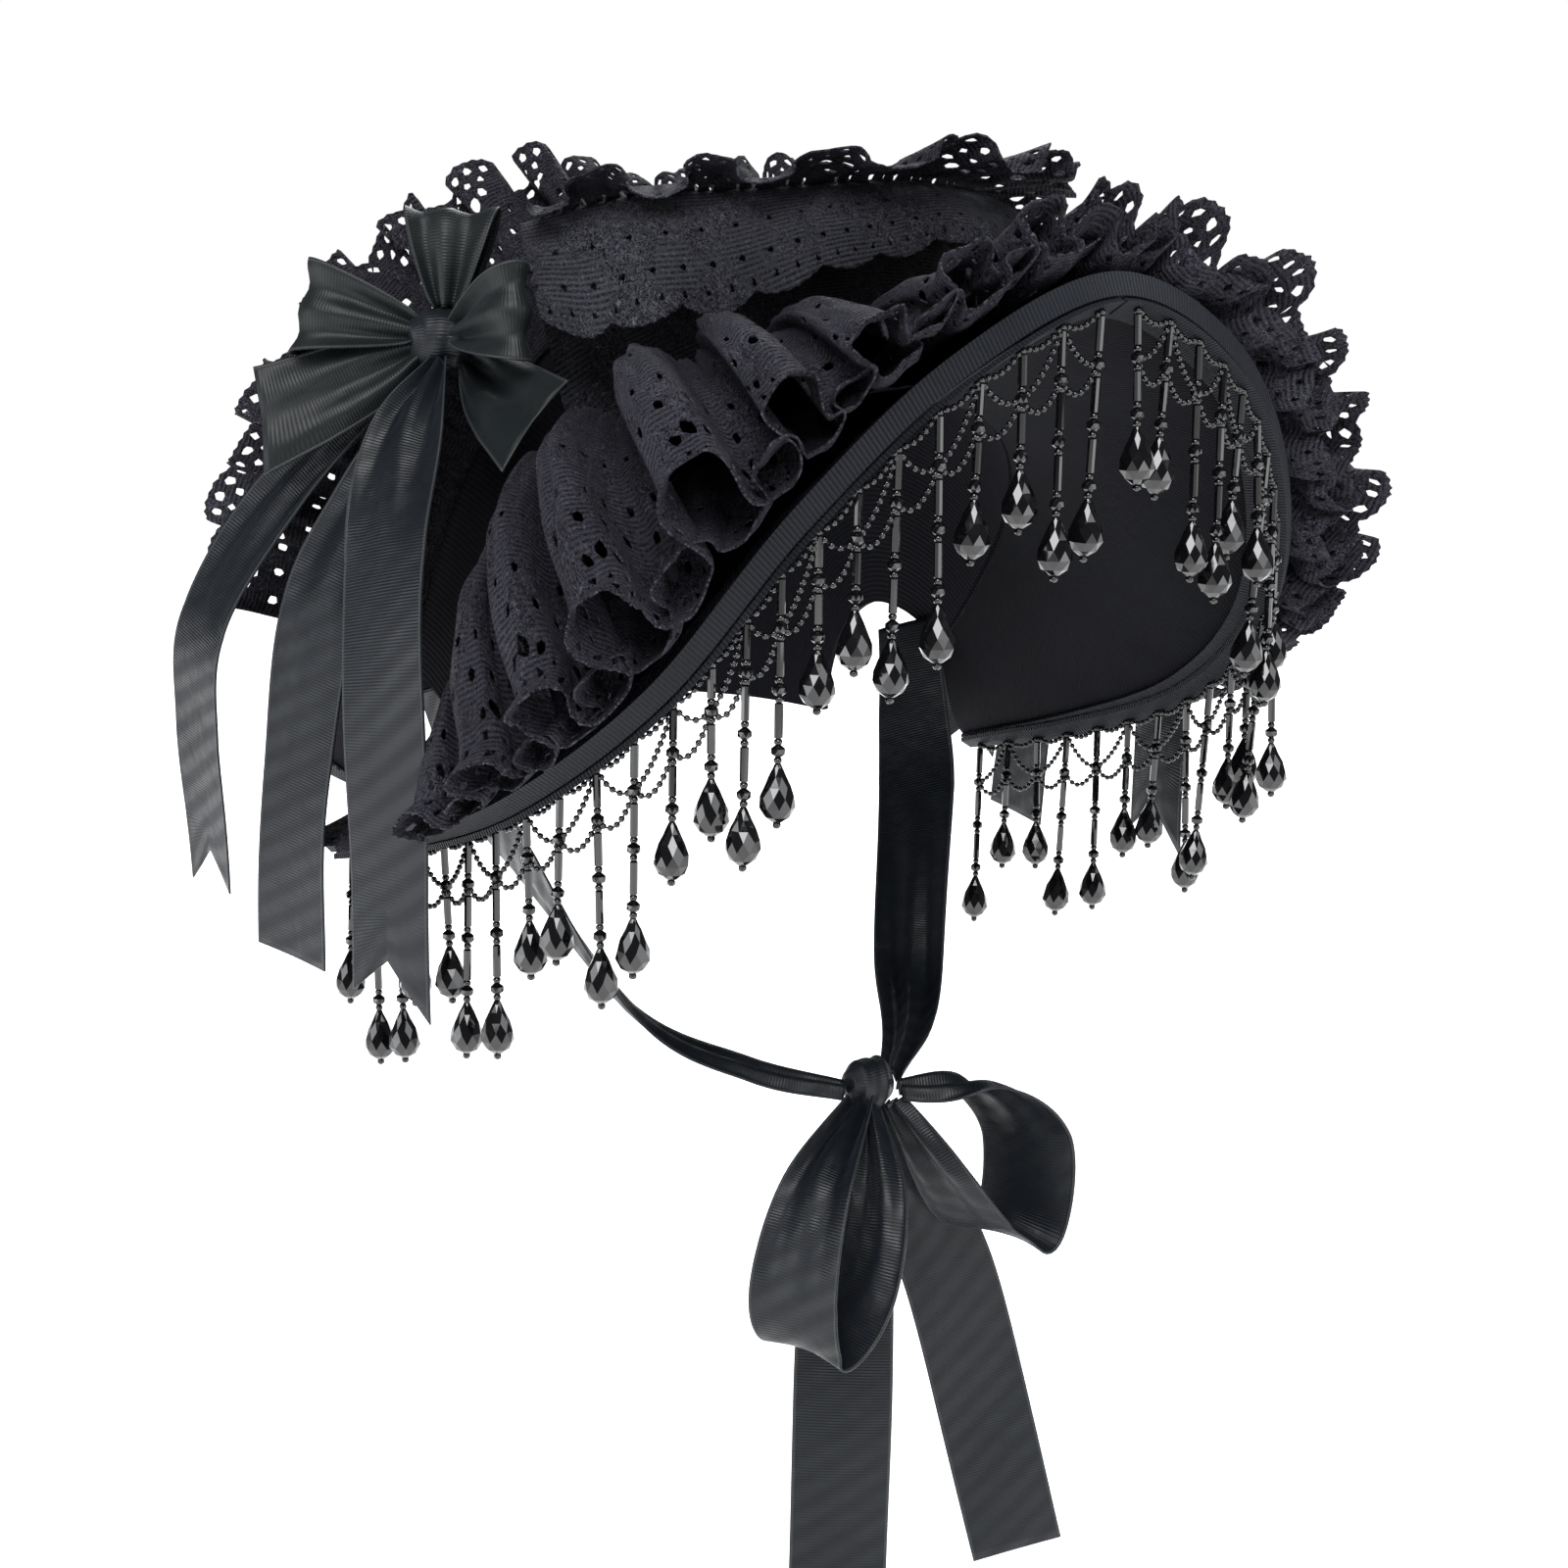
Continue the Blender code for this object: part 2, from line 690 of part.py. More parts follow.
def make_knot(name, centre, frame, radii, home):
    bm = bmesh.new()
    bmesh.ops.create_uvsphere(bm, u_segments=10, v_segments=6, radius=1)
    for v in bm.verts:
        x, y, z = v.co
        v.co = Vector(centre + frame[0] * x * radii[0] + frame[1] * z * radii[1] + frame[2] * y * radii[2])
    bm.normal_update()
    bmesh.ops.recalc_face_normals(bm, faces=bm.faces)
    made = add_mesh(name, bm, home, SATIN)
    made.data.shade_smooth()
    return made


def loop_rows(centre, direction, normal, length, swell, start, steps):
    """A loop that leaves a knot, turns and comes back above itself."""
    across = unit(np.cross(direction, normal))
    normal = np.cross(across, direction)
    rows = []
    for i in range(steps + 1):
        turn = math.pi * i / steps
        reach = start + length * math.sin(turn) ** 0.8
        height = -(LOOP_GAP / 2 + swell * math.sin(turn)) * math.cos(turn)
        width = RIBBON_WIDTH * (0.22 + 0.7 * math.sin(turn) ** 0.6)
        rows.append((centre + direction * reach + normal * height, across, width))
    return rows


def make_bow(side, home):
    name = "bow_left_" if side > 0 else "bow_right_"
    out = BOW_OUT - (LEFT_BOW_SET_IN if side > 0 else 0)
    centre = at(side * out, -BOW_FORWARD, -BOW_DOWN)
    normal = unit(at(side * 0.62, -0.74, 0.25))
    level = unit(np.cross((0, 0, 1), normal)) * -side
    rise = unit(at(0, 0, 1) - normal * normal[2])
    frame = (level, rise, normal)
    make_knot(name + "knot", centre, frame, KNOT_RADII, home)
    for label, angle, length, bend in BOW_LOOPS:
        turn = math.radians(angle)
        direction = unit(level * math.cos(turn) + rise * math.sin(turn) + normal * bend)
        rows = loop_rows(centre, direction, normal, length * LOOP_LENGTH, LOOP_SWELL, KNOT_REACH, 8)
        ribbon(name + label, rows, (0, 0, 0), home, SATIN)
    for label, angle, length, rise_share, cut in BOW_TAILS:
        turn = math.radians(angle)
        direction = level * math.cos(turn) + rise * math.sin(turn)
        across = np.cross(direction, normal)
        rows = []
        for share, width, lift in ((0, 0.2, 0), (0.35, 0.7, 0.2 * rise_share), (1, 1, rise_share)):
            reach = KNOT_REACH + length * LOOP_LENGTH * share
            rows.append((centre + direction * reach + normal * TAIL_RISE * lift, across, width * RIBBON_WIDTH))
        ribbon(name + label, rows, [c * MM for c in cut], home, SATIN)
    for label, table, cut in STREAMERS:
        cut = [c * MM for c in cut]
        hung_ribbon(name + label, centre, side, STREAMER_FALL, table, 7, cut, home)


def make_chin_ribbon(home):
    knot = at(0, -CHIN_FORWARD, -CHIN_DOWN)
    frame = (at(1, 0, 0), at(0, 0, 1), at(0, 1, 0))
    make_knot("chin_knot", knot, frame, CHIN_KNOT_RADII, home)
    for side, label in ((1, "left"), (-1, "right")):
        hung_ribbon("chin_strap_" + label, knot, side, CHIN_FALL, CHIN_STRAP, 8, (0, 0, 0), home)
    for label, side, table, steps, cut in CHIN_BOW:
        hung_ribbon("chin_" + label, knot, side, CHIN_FALL, table, steps, cut, home)


def main():
    clear_scene()
    bonnet = collection_named("bonnet")
    hidden = collection_named("bonnet_tools")
    make_crown(bonnet)
    make_brim(bonnet)
    make_binding(bonnet)
    make_fringe("fringe_left", 1, bonnet, hidden)
    make_fringe("fringe_right", -1, bonnet, hidden)
    make_tier("front_ruffle", front_ruffle_point, FRONT_RUFFLE, bonnet)
    make_tier("lace_band", lace_band_point, LACE_BAND, bonnet)
    make_tier("over_ruffle", over_ruffle_point, OVER_RUFFLE, bonnet)
    make_tier("crest_ruffle", crest_ruffle_point, CREST_RUFFLE, bonnet)
    make_bow(1, bonnet)
    make_bow(-1, bonnet)
    make_chin_ribbon(bonnet)


main()
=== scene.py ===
# Lace bonnet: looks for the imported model. Lengths are in metres, flat cloth is in millimetres in its UV map.
import math

import bmesh
import bpy
import numpy as np
from mathutils import Matrix, Vector


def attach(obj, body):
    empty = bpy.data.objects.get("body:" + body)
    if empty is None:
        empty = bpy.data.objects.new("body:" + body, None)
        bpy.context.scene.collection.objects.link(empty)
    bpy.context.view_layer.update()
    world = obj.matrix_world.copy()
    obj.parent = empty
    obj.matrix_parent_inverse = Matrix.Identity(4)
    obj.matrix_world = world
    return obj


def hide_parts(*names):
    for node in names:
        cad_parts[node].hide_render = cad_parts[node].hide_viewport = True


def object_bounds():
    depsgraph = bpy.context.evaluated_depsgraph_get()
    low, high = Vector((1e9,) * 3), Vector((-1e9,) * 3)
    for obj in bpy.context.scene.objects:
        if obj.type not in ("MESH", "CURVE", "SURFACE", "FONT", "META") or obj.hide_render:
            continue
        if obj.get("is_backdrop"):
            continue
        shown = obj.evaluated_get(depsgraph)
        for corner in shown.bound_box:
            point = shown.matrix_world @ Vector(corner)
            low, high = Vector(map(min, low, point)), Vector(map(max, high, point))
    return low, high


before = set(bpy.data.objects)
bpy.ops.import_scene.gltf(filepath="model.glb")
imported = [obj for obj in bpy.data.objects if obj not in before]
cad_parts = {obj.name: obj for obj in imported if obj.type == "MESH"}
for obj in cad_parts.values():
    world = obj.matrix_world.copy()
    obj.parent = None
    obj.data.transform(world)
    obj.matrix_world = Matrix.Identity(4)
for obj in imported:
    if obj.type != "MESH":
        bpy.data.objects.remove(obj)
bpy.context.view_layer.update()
mm = 0.001

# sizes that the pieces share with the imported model
form = dict(
    crownHalfWidth=84 * mm, crownWall=2 * mm, hemDepth=140 * mm, hemSetback=5 * mm,
    crownFrontReach=137 * mm, crownBackReach=100 * mm, crownFullness=0.6,
    frontLine=math.radians(50), sideAngle=math.radians(84),
    brimHalfWidth=113 * mm, brimReach=155 * mm, brimDrop=144 * mm, brimWall=2.4 * mm, brimDish=5 * mm,
    bindingShare=0.9, bindingGap=0.5 * mm, bindingWall=1 * mm, laceClearance=1.1 * mm,
)
edgeRows = (  # along, out, forward, down
    (0 / 6, 0.00, 1.00, 0.035), (1 / 6, 0.38, 0.98, 0.145), (2 / 6, 0.67, 0.91, 0.355), (3 / 6, 0.87, 0.79, 0.610),
    (4 / 6, 0.99, 0.57, 0.805), (5 / 6, 1.00, 0.29, 0.925), (6 / 6, 0.975, 0.01, 1.000),
)
bandBackRows = ((0 / 3, 0.00, 0.54, -0.110), (1 / 3, 0.30, 0.48, -0.097), (2 / 3, 0.51, 0.36, -0.083),
    (3 / 3, 0.64, 0.23, -0.042))
bandFrontRows = ((0 / 3, 0.00, 0.66, -0.010), (1 / 3, 0.38, 0.64, 0.055), (2 / 3, 0.64, 0.54, 0.111),
    (3 / 3, 0.74, 0.41, 0.125))

bonnet = bpy.data.collections.new("bonnet")
bpy.context.scene.collection.children.link(bonnet)


# vectors: every surface takes arrays and gives one row of x, y, z for each


def unit(v):
    return v / np.maximum(np.linalg.norm(v, axis=-1, keepdims=True), 1e-12)


def at(x, y, z):
    return np.stack(np.broadcast_arrays(x, y, z), axis=-1).astype(float)


def col(a):
    return np.asarray(a, float)[..., None]


def eased(low, high, value):
    share = np.clip((value - low) / (high - low), 0, 1)
    return share * share * (3 - 2 * share)


def blended(rows, share, mirrored=False):
    table = np.array(rows, float)
    place = np.clip(share, 0, 1) * (len(table) - 1)
    i = np.minimum(place.astype(int), len(table) - 2)
    t = col(place - i)
    before = table[1] * [-1, -1, 1, 1] if mirrored else 2 * table[0] - table[1]
    rows = np.vstack([before, table, 2 * table[-1] - table[-2]])
    p, a, b, n = rows[i], rows[i + 1], rows[i + 2], rows[i + 3]
    return 0.5 * (2 * a + (b - p) * t + (2 * p - 5 * a + 4 * b - n) * t**2 + (3 * a - p - 3 * b + n) * t**3)


def crownPoint(s, turn):
    lateral = form["sideAngle"] * s
    reach = np.where(turn < math.pi / 2, form["crownFrontReach"], form["crownBackReach"])
    radius = 1 / np.hypot(np.cos(turn) / reach, np.sin(turn) / (form["hemDepth"] + form["crownWall"]))
    radius = radius * np.cos(lateral) ** form["crownFullness"]
    return at(form["crownHalfWidth"] * np.sin(lateral), form["hemSetback"] - radius * np.cos(turn),
        radius * np.sin(turn) - form["hemDepth"])


def edgeLine(s):
    row = blended(edgeRows, np.abs(s), True)
    side = np.where(s < 0, -1, 1)
    return at(side * row[..., 1] * form["brimHalfWidth"], -row[..., 2] * form["brimReach"],
        -row[..., 3] * form["brimDrop"])


def frontLine(s):
    return crownPoint(s, form["frontLine"])


def brimFrame(s):
    low, high = np.maximum(s - 0.01, -1), np.minimum(s + 0.01, 1)
    along = unit((frontLine(high) + edgeLine(high) - frontLine(low) - edgeLine(low)) / 2)
    forward = unit(edgeLine(s) - frontLine(s))
    out = unit(np.cross(forward, along))
    return along, unit(np.cross(along, out)), out


def brimPoint(s, w):
    return frontLine(s) * col(1 - w) + edgeLine(s) * col(w) - brimFrame(s)[2] * col(form["brimDish"] * 4 * w * (1 - w))


def crownFrame(s, turn):
    low, high = np.maximum(s - 0.01, -1), np.minimum(s + 0.01, 1)
    along = unit(crownPoint(high, turn) - crownPoint(low, turn))
    back = unit(crownPoint(s, turn + 0.01) - crownPoint(s, turn - 0.01))
    out = unit(np.cross(along, back))
    return along, unit(np.cross(out, along)), out


def bandRails(s, reach):
    side = np.where(s < 0, -1, 1)
    points = []
    for rows in (bandBackRows, bandFrontRows):
        row = blended(rows, np.abs(s) / reach, True)
        points.append(at(side * row[..., 1] * form["brimHalfWidth"], -row[..., 2] * form["brimReach"],
            -row[..., 3] * form["brimDrop"]))
    return points


def bandFrame(s, reach):
    back, front = bandRails(s, reach)
    after = bandRails(s + 0.01, reach)
    forward = unit(front - back)
    return forward, unit(np.cross(forward, after[0] + after[1] - back - front))


def foldPhase(s, folds):
    return math.pi * folds * (s + 0.012 * np.sin(9.1 * s + 0.6) + 0.007 * np.sin(23 * s))


def foldShare(s):
    return 0.78 + 0.22 * np.sin(13.7 * s + 1.1)


# mesh helpers


def newObject(name, verts, faces, uvs=None, material=None, smooth=True):
    mesh = bpy.data.meshes.new(name)
    mesh.from_pydata([tuple(v) for v in verts], [], faces)
    if uvs is not None:
        layer = mesh.uv_layers.new(name="flat")
        loops = np.empty(len(mesh.loops), np.int32)
        mesh.loops.foreach_get("vertex_index", loops)
        layer.data.foreach_set("uv", np.asarray(uvs, np.float32)[loops].ravel())
    mesh.polygons.foreach_set("use_smooth", [smooth] * len(mesh.polygons))
    mesh.update()
    made = bpy.data.objects.new(name, mesh)
    bonnet.objects.link(made)
    if material:
        mesh.materials.append(material)
    return made


def settle(piece):
    # the evaluated mesh, modifiers gone
    graph = bpy.context.evaluated_depsgraph_get()
    mesh = bpy.data.meshes.new_from_object(piece.evaluated_get(graph))
    piece.modifiers.clear()
    piece.data = mesh
    return piece


def solidified(piece, wall, offset=0.0):
    mod = piece.modifiers.new("wall", "SOLIDIFY")
    mod.thickness = wall
    mod.offset = offset
    mod.use_even_offset = False
    return piece


def declared(piece, node=None):
    # hides the model part that the piece stands for, if one is named, and makes the piece move with the root
    if node:
        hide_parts(node)
    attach(piece, "root")


def facedOut(piece, merge=0.0):
    bm = bmesh.new()
    bm.from_mesh(piece.data)
    if merge:
        bmesh.ops.remove_doubles(bm, verts=bm.verts, dist=merge)
    bmesh.ops.recalc_face_normals(bm, faces=bm.faces)
    bm.to_mesh(piece.data)
    bm.free()


def gridFaces(a, b):
    i, j = np.meshgrid(np.arange(a - 1), np.arange(b - 1), indexing="ij")
    base = (i * b + j).ravel()
    return np.stack([base, base + b, base + b + 1, base + 1], 1)


def slabObject(name, top, under, uvs, material):
    # a closed wall between two grids of points
    a, b = top.shape[:2]
    faces = gridFaces(a, b)
    count = a * b
    rim = [i * b for i in range(a)] + [(a - 1) * b + j for j in range(1, b)] + [i * b + b - 1 for i in range(a - 2, -1,
        -1)] + [j for j in range(b - 2, 0, -1)]
    rims = [(p + count, q + count, q, p) for p, q in zip(rim, rim[1:] + rim[:1])]
    allFaces = faces.tolist() + (faces[:, ::-1] + count).tolist() + rims
    made = newObject(name, np.vstack([top.reshape(-1, 3), under.reshape(-1, 3)]), allFaces, np.vstack([uvs, uvs]),
        material)
    facedOut(made)
    made.data.set_sharp_from_angle(angle=math.radians(50))
    return made


def arcLengths(points):
    return np.concatenate([[0], np.cumsum(np.linalg.norm(np.diff(points, axis=0), axis=1))])


# materials


def newMaterial(name, roughness, sheen=0.0, sheenTint=(1, 1, 1), sheenRoughness=0.4, specular=0.5, anisotropic=0.0,
    coat=0.0):
    material = bpy.data.materials.new(name)
    material.use_nodes = True
    shader = material.node_tree.nodes["Principled BSDF"]
    shader.inputs["Roughness"].default_value = roughness
    shader.inputs["Sheen Weight"].default_value = sheen
    shader.inputs["Sheen Tint"].default_value = (*sheenTint, 1)
    shader.inputs["Sheen Roughness"].default_value = sheenRoughness
    shader.inputs["Specular IOR Level"].default_value = specular
    shader.inputs["Anisotropic"].default_value = anisotropic
    shader.inputs["Coat Weight"].default_value = coat
    return material, shader


class Wires:
    # short names for the nodes that the materials use

    def __init__(self, material):
        self.tree = material.node_tree

    def node(self, kind, inputs=(), **settings):
        made = self.tree.nodes.new(kind)
        for key, value in settings.items():
            setattr(made, key, value)
        for key, value in dict(inputs).items():
            if isinstance(value, bpy.types.NodeSocket):
                self.tree.links.new(value, made.inputs[key])
            else:
                made.inputs[key].default_value = value
        return made

    def uv(self):
        return self.node("ShaderNodeUVMap", uv_map="flat").outputs[0]

    def place(self):
        return self.node("ShaderNodeTexCoord").outputs["Object"]

    def mapped(self, vector, scale=(1, 1, 1), turn=0.0, shift=(0, 0, 0)):
        made = self.node("ShaderNodeMapping", {"Vector": vector})
        made.inputs["Scale"].default_value = scale
        made.inputs["Rotation"].default_value = (0, 0, turn)
        made.inputs["Location"].default_value = shift
        return made.outputs[0]

    def noise(self, vector, scale, detail=2.0, distortion=0.0, rough=0.5):
        inputs = {"Vector": vector, "Scale": scale, "Detail": detail, "Distortion": distortion, "Roughness": rough}
        return self.node("ShaderNodeTexNoise", inputs).outputs["Fac"]

    def wave(self, vector, scale, distortion=0.0, detailScale=1.0, direction="X", profile="SIN", phase=0.0, detail=2.0):
        inputs = {"Vector": vector, "Scale": scale, "Distortion": distortion, "Detail Scale": detailScale,
            "Phase Offset": phase, "Detail": detail}
        return self.node("ShaderNodeTexWave", inputs, bands_direction=direction, wave_profile=profile).outputs["Fac"]

    def math(self, what, a, b=0.5, c=0.5):
        made = self.node("ShaderNodeMath", operation=what)
        for i, value in enumerate((a, b, c)):
            if isinstance(value, bpy.types.NodeSocket):
                self.tree.links.new(value, made.inputs[i])
            else:
                made.inputs[i].default_value = value
        return made.outputs[0]

    def ramp(self, value, low, high, first=0.0, last=1.0, kind="SMOOTHSTEP"):
        inputs = {"Value": value, "From Min": low, "From Max": high, "To Min": first, "To Max": last}
        return self.node("ShaderNodeMapRange", inputs, interpolation_type=kind).outputs["Result"]

    def mix(self, share, a, b):
        made = self.node("ShaderNodeMix", data_type="RGBA")
        for key, value in ((0, share), (6, a), (7, b)):
            if isinstance(value, bpy.types.NodeSocket):
                self.tree.links.new(value, made.inputs[key])
            else:
                made.inputs[key].default_value = value if key == 0 else (*value, 1)
        return made.outputs[2]

    def bump(self, height, strength, distance, normal=None):
        inputs = {"Height": height, "Strength": strength, "Distance": distance}
        if normal is not None:
            inputs["Normal"] = normal
        return self.node("ShaderNodeBump", inputs).outputs[0]

    def into(self, shader, name, value):
        self.tree.links.new(value, shader.inputs[name])


laceLook = dict(dark=(0.0007, 0.0008, 0.0020), thread=(0.062, 0.061, 0.080), fuzz=(0.40, 0.38, 0.50), threadScale=0.62,
    ribScale=0.30, flowerScale=0.085)


def laceMaterial(name, look, lively=1.0):
    material, shader = newMaterial(name, 0.78, sheen=0.05, sheenTint=look["fuzz"], sheenRoughness=0.4, specular=0.10)
    w = Wires(material)
    uv = w.uv()
    curls = w.noise(uv, look["threadScale"], 1.5, 1.6)
    curlLines = w.ramp(w.math("ABSOLUTE", w.math("SUBTRACT", curls, 0.5)), 0.0, 0.075, 1.0, 0.0)
    fine = w.noise(w.mapped(uv, shift=(31, 7, 0)), look["threadScale"] * 1.9, 1.0, 1.2)
    fineLines = w.ramp(w.math("ABSOLUTE", w.math("SUBTRACT", fine, 0.5)), 0.0, 0.09, 1.0, 0.0)
    ribs = w.wave(w.mapped(uv, scale=(0.35, 1, 1)), look["ribScale"], 4.0, 0.35, "Y")
    flower = w.node("ShaderNodeTexVoronoi",
        {"Vector": uv, "Scale": look["flowerScale"], "Randomness": 0.55, "Detail": 0.0}, feature="SMOOTH_F1")
    petals = w.noise(w.mapped(uv, shift=(3, 50, 0)), look["flowerScale"] * 2.2, 1.0, 0.6)
    dense = w.ramp(w.math("ADD", flower.outputs["Distance"], w.math("MULTIPLY", petals, 0.55)), 0.62, 0.78, 1.0, 0.0)
    ground = w.math("MAXIMUM", curlLines, w.math("MULTIPLY", fineLines, 0.7))
    cloth = w.math("ADD", w.math("MULTIPLY", ribs, 0.38), w.math("MULTIPLY", fineLines, 0.5))
    threads = w.math("ADD", w.math("MULTIPLY", ground, w.math("SUBTRACT", 1.0, dense)),
        w.math("MULTIPLY", cloth, dense))
    patchy = w.noise(w.place(), 38.0, 3.0, 0.3)
    share = w.math("MULTIPLY", threads, w.ramp(patchy, 0.25, 0.75, 0.55 * lively, 1.0 * lively))
    w.into(shader, "Base Color", w.mix(share, look["dark"], look["thread"]))
    w.into(shader, "Roughness", w.ramp(threads, 0.0, 1.0, 0.85, 0.55))
    relief = w.bump(dense, 0.6, 0.0006)
    w.into(shader, "Normal", w.bump(threads, 1.0, 0.0007, relief))
    return material


# edge is a painted highlight, a lighter colour laid along both selvedges of the satin ribbons
satinLook = dict(dark=(0.0016, 0.0022, 0.0036), light=(0.0058, 0.0076, 0.0100), edge=(0.035, 0.038, 0.04), ribs=0.42,
    moire=0.035)


def satinMaterial(name, look, roughness=0.40, moire=1.0):
    material, shader = newMaterial(name, roughness, sheen=0.035, sheenTint=(0.62, 0.70, 0.85), sheenRoughness=0.35,
        specular=0.20, anisotropic=0.4)
    w = Wires(material)
    uv = w.uv()
    ribs = w.wave(uv, look["ribs"], 0.35, 0.08, "Y")
    water = w.wave(w.mapped(uv, scale=(1.0, 0.55, 1), turn=0.35), look["moire"] * 2.4, 9.0, 0.055, "Y", detail=1.0)
    cloud = w.noise(uv, 0.05, 2.0, 0.4)
    across = w.node("ShaderNodeSeparateXYZ", {0: uv}).outputs[0]
    # a strip along both selvedges of the ribbon: raised in the bump, and in the colour a painted highlight in the edge
    # colour
    selvedgeAndHighlightRise = w.ramp(w.math("ABSOLUTE", across), 11.6, 11.9, 0.0, 1.0)
    band = w.math("MULTIPLY", selvedgeAndHighlightRise, w.ramp(w.math("ABSOLUTE", across), 12.2, 12.5, 1.0, 0.35))
    tone = w.math("ADD", w.math("MULTIPLY", water, 0.55 * moire), w.math("MULTIPLY", cloud, 0.6))
    w.into(shader, "Base Color", w.mix(w.math("MULTIPLY", band, 0.5), w.mix(tone, look["dark"], look["light"]),
        look["edge"]))
    w.into(shader, "Roughness", w.ramp(water, 0.0, 1.0, roughness + 0.08 * moire, roughness - 0.06 * moire))
    body = w.bump(w.noise(uv, 0.11, 2.0, 0.2), 0.35, 0.0012)
    edge = w.bump(band, 0.6, 0.0003, body)
    w.into(shader, "Normal", w.bump(ribs, 0.28, 0.0002, edge))
    return material


def clothMaterial(name, dark, light, weave=0.9, turn=0.8, roughness=0.85, rib=None):
    material, shader = newMaterial(name, roughness, sheen=0.02, sheenTint=(0.55, 0.58, 0.70), sheenRoughness=0.5,
        specular=0.08)
    w = Wires(material)
    uv = w.uv()
    twill = w.wave(w.mapped(uv, turn=turn), weave * 0.32, 0.4, 1.0, "X")
    fuzz = w.noise(uv, 1.4, 3.0, 0.2)
    worn = w.noise(w.place(), 22.0, 3.0, 0.4)
    tone = w.math("ADD", w.math("MULTIPLY", twill, 0.5), w.math("MULTIPLY", fuzz, 0.4))
    w.into(shader, "Base Color", w.mix(w.math("MULTIPLY", tone, w.ramp(worn, 0.3, 0.7, 0.5, 1.1)), dark, light))
    w.into(shader, "Normal", w.bump(tone, 0.55, 0.0004, w.bump(worn, 0.25, 0.0015)))
    return material


grosgrainLook = dict(dark=(0.0012, 0.0016, 0.003), light=(0.0085, 0.010, 0.0145), ribs=0.30)


def grosgrainMaterial(name, look):
    material, shader = newMaterial(name, 0.5, sheen=0.03, sheenTint=(0.6, 0.68, 0.85), sheenRoughness=0.4,
        specular=0.18)
    w = Wires(material)
    uv = w.uv()
    ribs = w.wave(uv, look["ribs"], 0.2, 0.2, "X")
    cloud = w.noise(uv, 0.08, 2.0)
    w.into(shader, "Base Color", w.mix(w.math("MULTIPLY", ribs, w.ramp(cloud, 0.2, 0.8, 0.6, 1.1)), look["dark"],
        look["light"]))
    w.into(shader, "Normal", w.bump(ribs, 0.8, 0.0005))
    return material


def glassMaterial(name, colour, roughness, dusty=0.04):
    material, shader = newMaterial(name, roughness, specular=0.42)
    shader.inputs["IOR"].default_value = 1.6
    w = Wires(material)
    smoke = w.noise(w.place(), 260.0, 2.0, 0.2)
    w.into(shader, "Base Color", w.mix(smoke, tuple(c * 0.6 for c in colour), tuple(c * 1.5 for c in colour)))
    w.into(shader, "Roughness", w.ramp(smoke, 0.3, 0.8, roughness, roughness + dusty))
    return material


print("materials")
lace = laceMaterial("lace", laceLook)
bandLace = laceMaterial("bandLace", dict(laceLook, threadScale=0.75, flowerScale=0.07, thread=(0.058, 0.060, 0.072)),
    1.1)
satin = satinMaterial("satin", satinLook)
dullSatin = satinMaterial("dullSatin", dict(satinLook, dark=(0.0035, 0.0048, 0.0055), light=(0.008, 0.0105, 0.0105)),
    0.45, 0.25)
brimCloth = clothMaterial("brimCloth", (0.0010, 0.0011, 0.0022), (0.0058, 0.0058, 0.008))
crownCloth = clothMaterial("crownCloth", (0.0014, 0.0015, 0.003), (0.008, 0.008, 0.011), 0.7, 0.0)
grosgrain = grosgrainMaterial("grosgrain", grosgrainLook)
glass = glassMaterial("blackGlass", (0.002, 0.002, 0.0025), 0.06)
threadFinish = clothMaterial("thread", (0.004, 0.004, 0.006), (0.02, 0.02, 0.026), 2.0, 0.3)


# camera and light

viewFrom = dict(back=(-0.568, -0.7906, 0.2284), right=(0.812, -0.5835, 0.0), distance=702 * mm,
    aim=(0.0, 30 * mm, -148 * mm), lens=56.25, shift=(0.1125, -0.0081))


def makeCamera(v):
    back, right = Vector(v["back"]).normalized(), Vector(v["right"]).normalized()
    up = back.cross(right).normalized()
    data = bpy.data.cameras.new("camera")
    data.lens, data.sensor_width = v["lens"], 36
    data.shift_x, data.shift_y = v["shift"]
    data.clip_start, data.clip_end = 0.02, 20
    made = bpy.data.objects.new("camera", data)
    turned = Matrix((right, up, back)).transposed().to_4x4()
    made.matrix_world = Matrix.Translation(Vector(v["aim"]) + back * v["distance"]) @ turned
    bpy.context.scene.collection.objects.link(made)
    bpy.context.scene.camera = made


lights = dict(
    key=dict(place=(-0.75, -0.75, 0.95), size=0.9, power=33, colour=(1.0, 1.0, 1.0)),
    front=dict(place=(0.35, -1.3, 0.15), size=0.9, power=9, colour=(0.96, 0.98, 1.0)),
    rim=dict(place=(0.9, 0.7, 0.8), size=0.8, power=20, colour=(0.94, 0.97, 1.0)),
    left=dict(place=(-1.2, 0.2, 0.0), size=0.7, power=8, colour=(0.95, 0.97, 1.0)),
)


roomLight = dict(seen=1.0, felt=0.12)  # felt is what falls on the bonnet


def makeLights(rows):
    for name, row in rows.items():
        data = bpy.data.lights.new(name, "AREA")
        data.energy, data.size, data.color = row["power"], row["size"], row["colour"]
        made = bpy.data.objects.new(name, data)
        made.location = row["place"]
        made.rotation_euler = (Vector((0, -0.03, -0.1)) - Vector(row["place"])).to_track_quat("-Z", "Y").to_euler()
        bpy.context.scene.collection.objects.link(made)
    world = bpy.data.worlds.new("softRoom")
    world.use_nodes = True
    tree = world.node_tree
    tree.nodes["Background"].inputs[0].default_value = (1, 1, 1, 1)
    seen = tree.nodes.new("ShaderNodeLightPath")
    strength = tree.nodes.new("ShaderNodeMapRange")
    strength.inputs["To Min"].default_value = roomLight["felt"]
    strength.inputs["To Max"].default_value = roomLight["seen"]
    tree.links.new(seen.outputs["Is Camera Ray"], strength.inputs["Value"])
    tree.links.new(strength.outputs["Result"], tree.nodes["Background"].inputs[1])
    bpy.context.scene.world = world
    bpy.context.scene.view_settings.view_transform = "Standard"


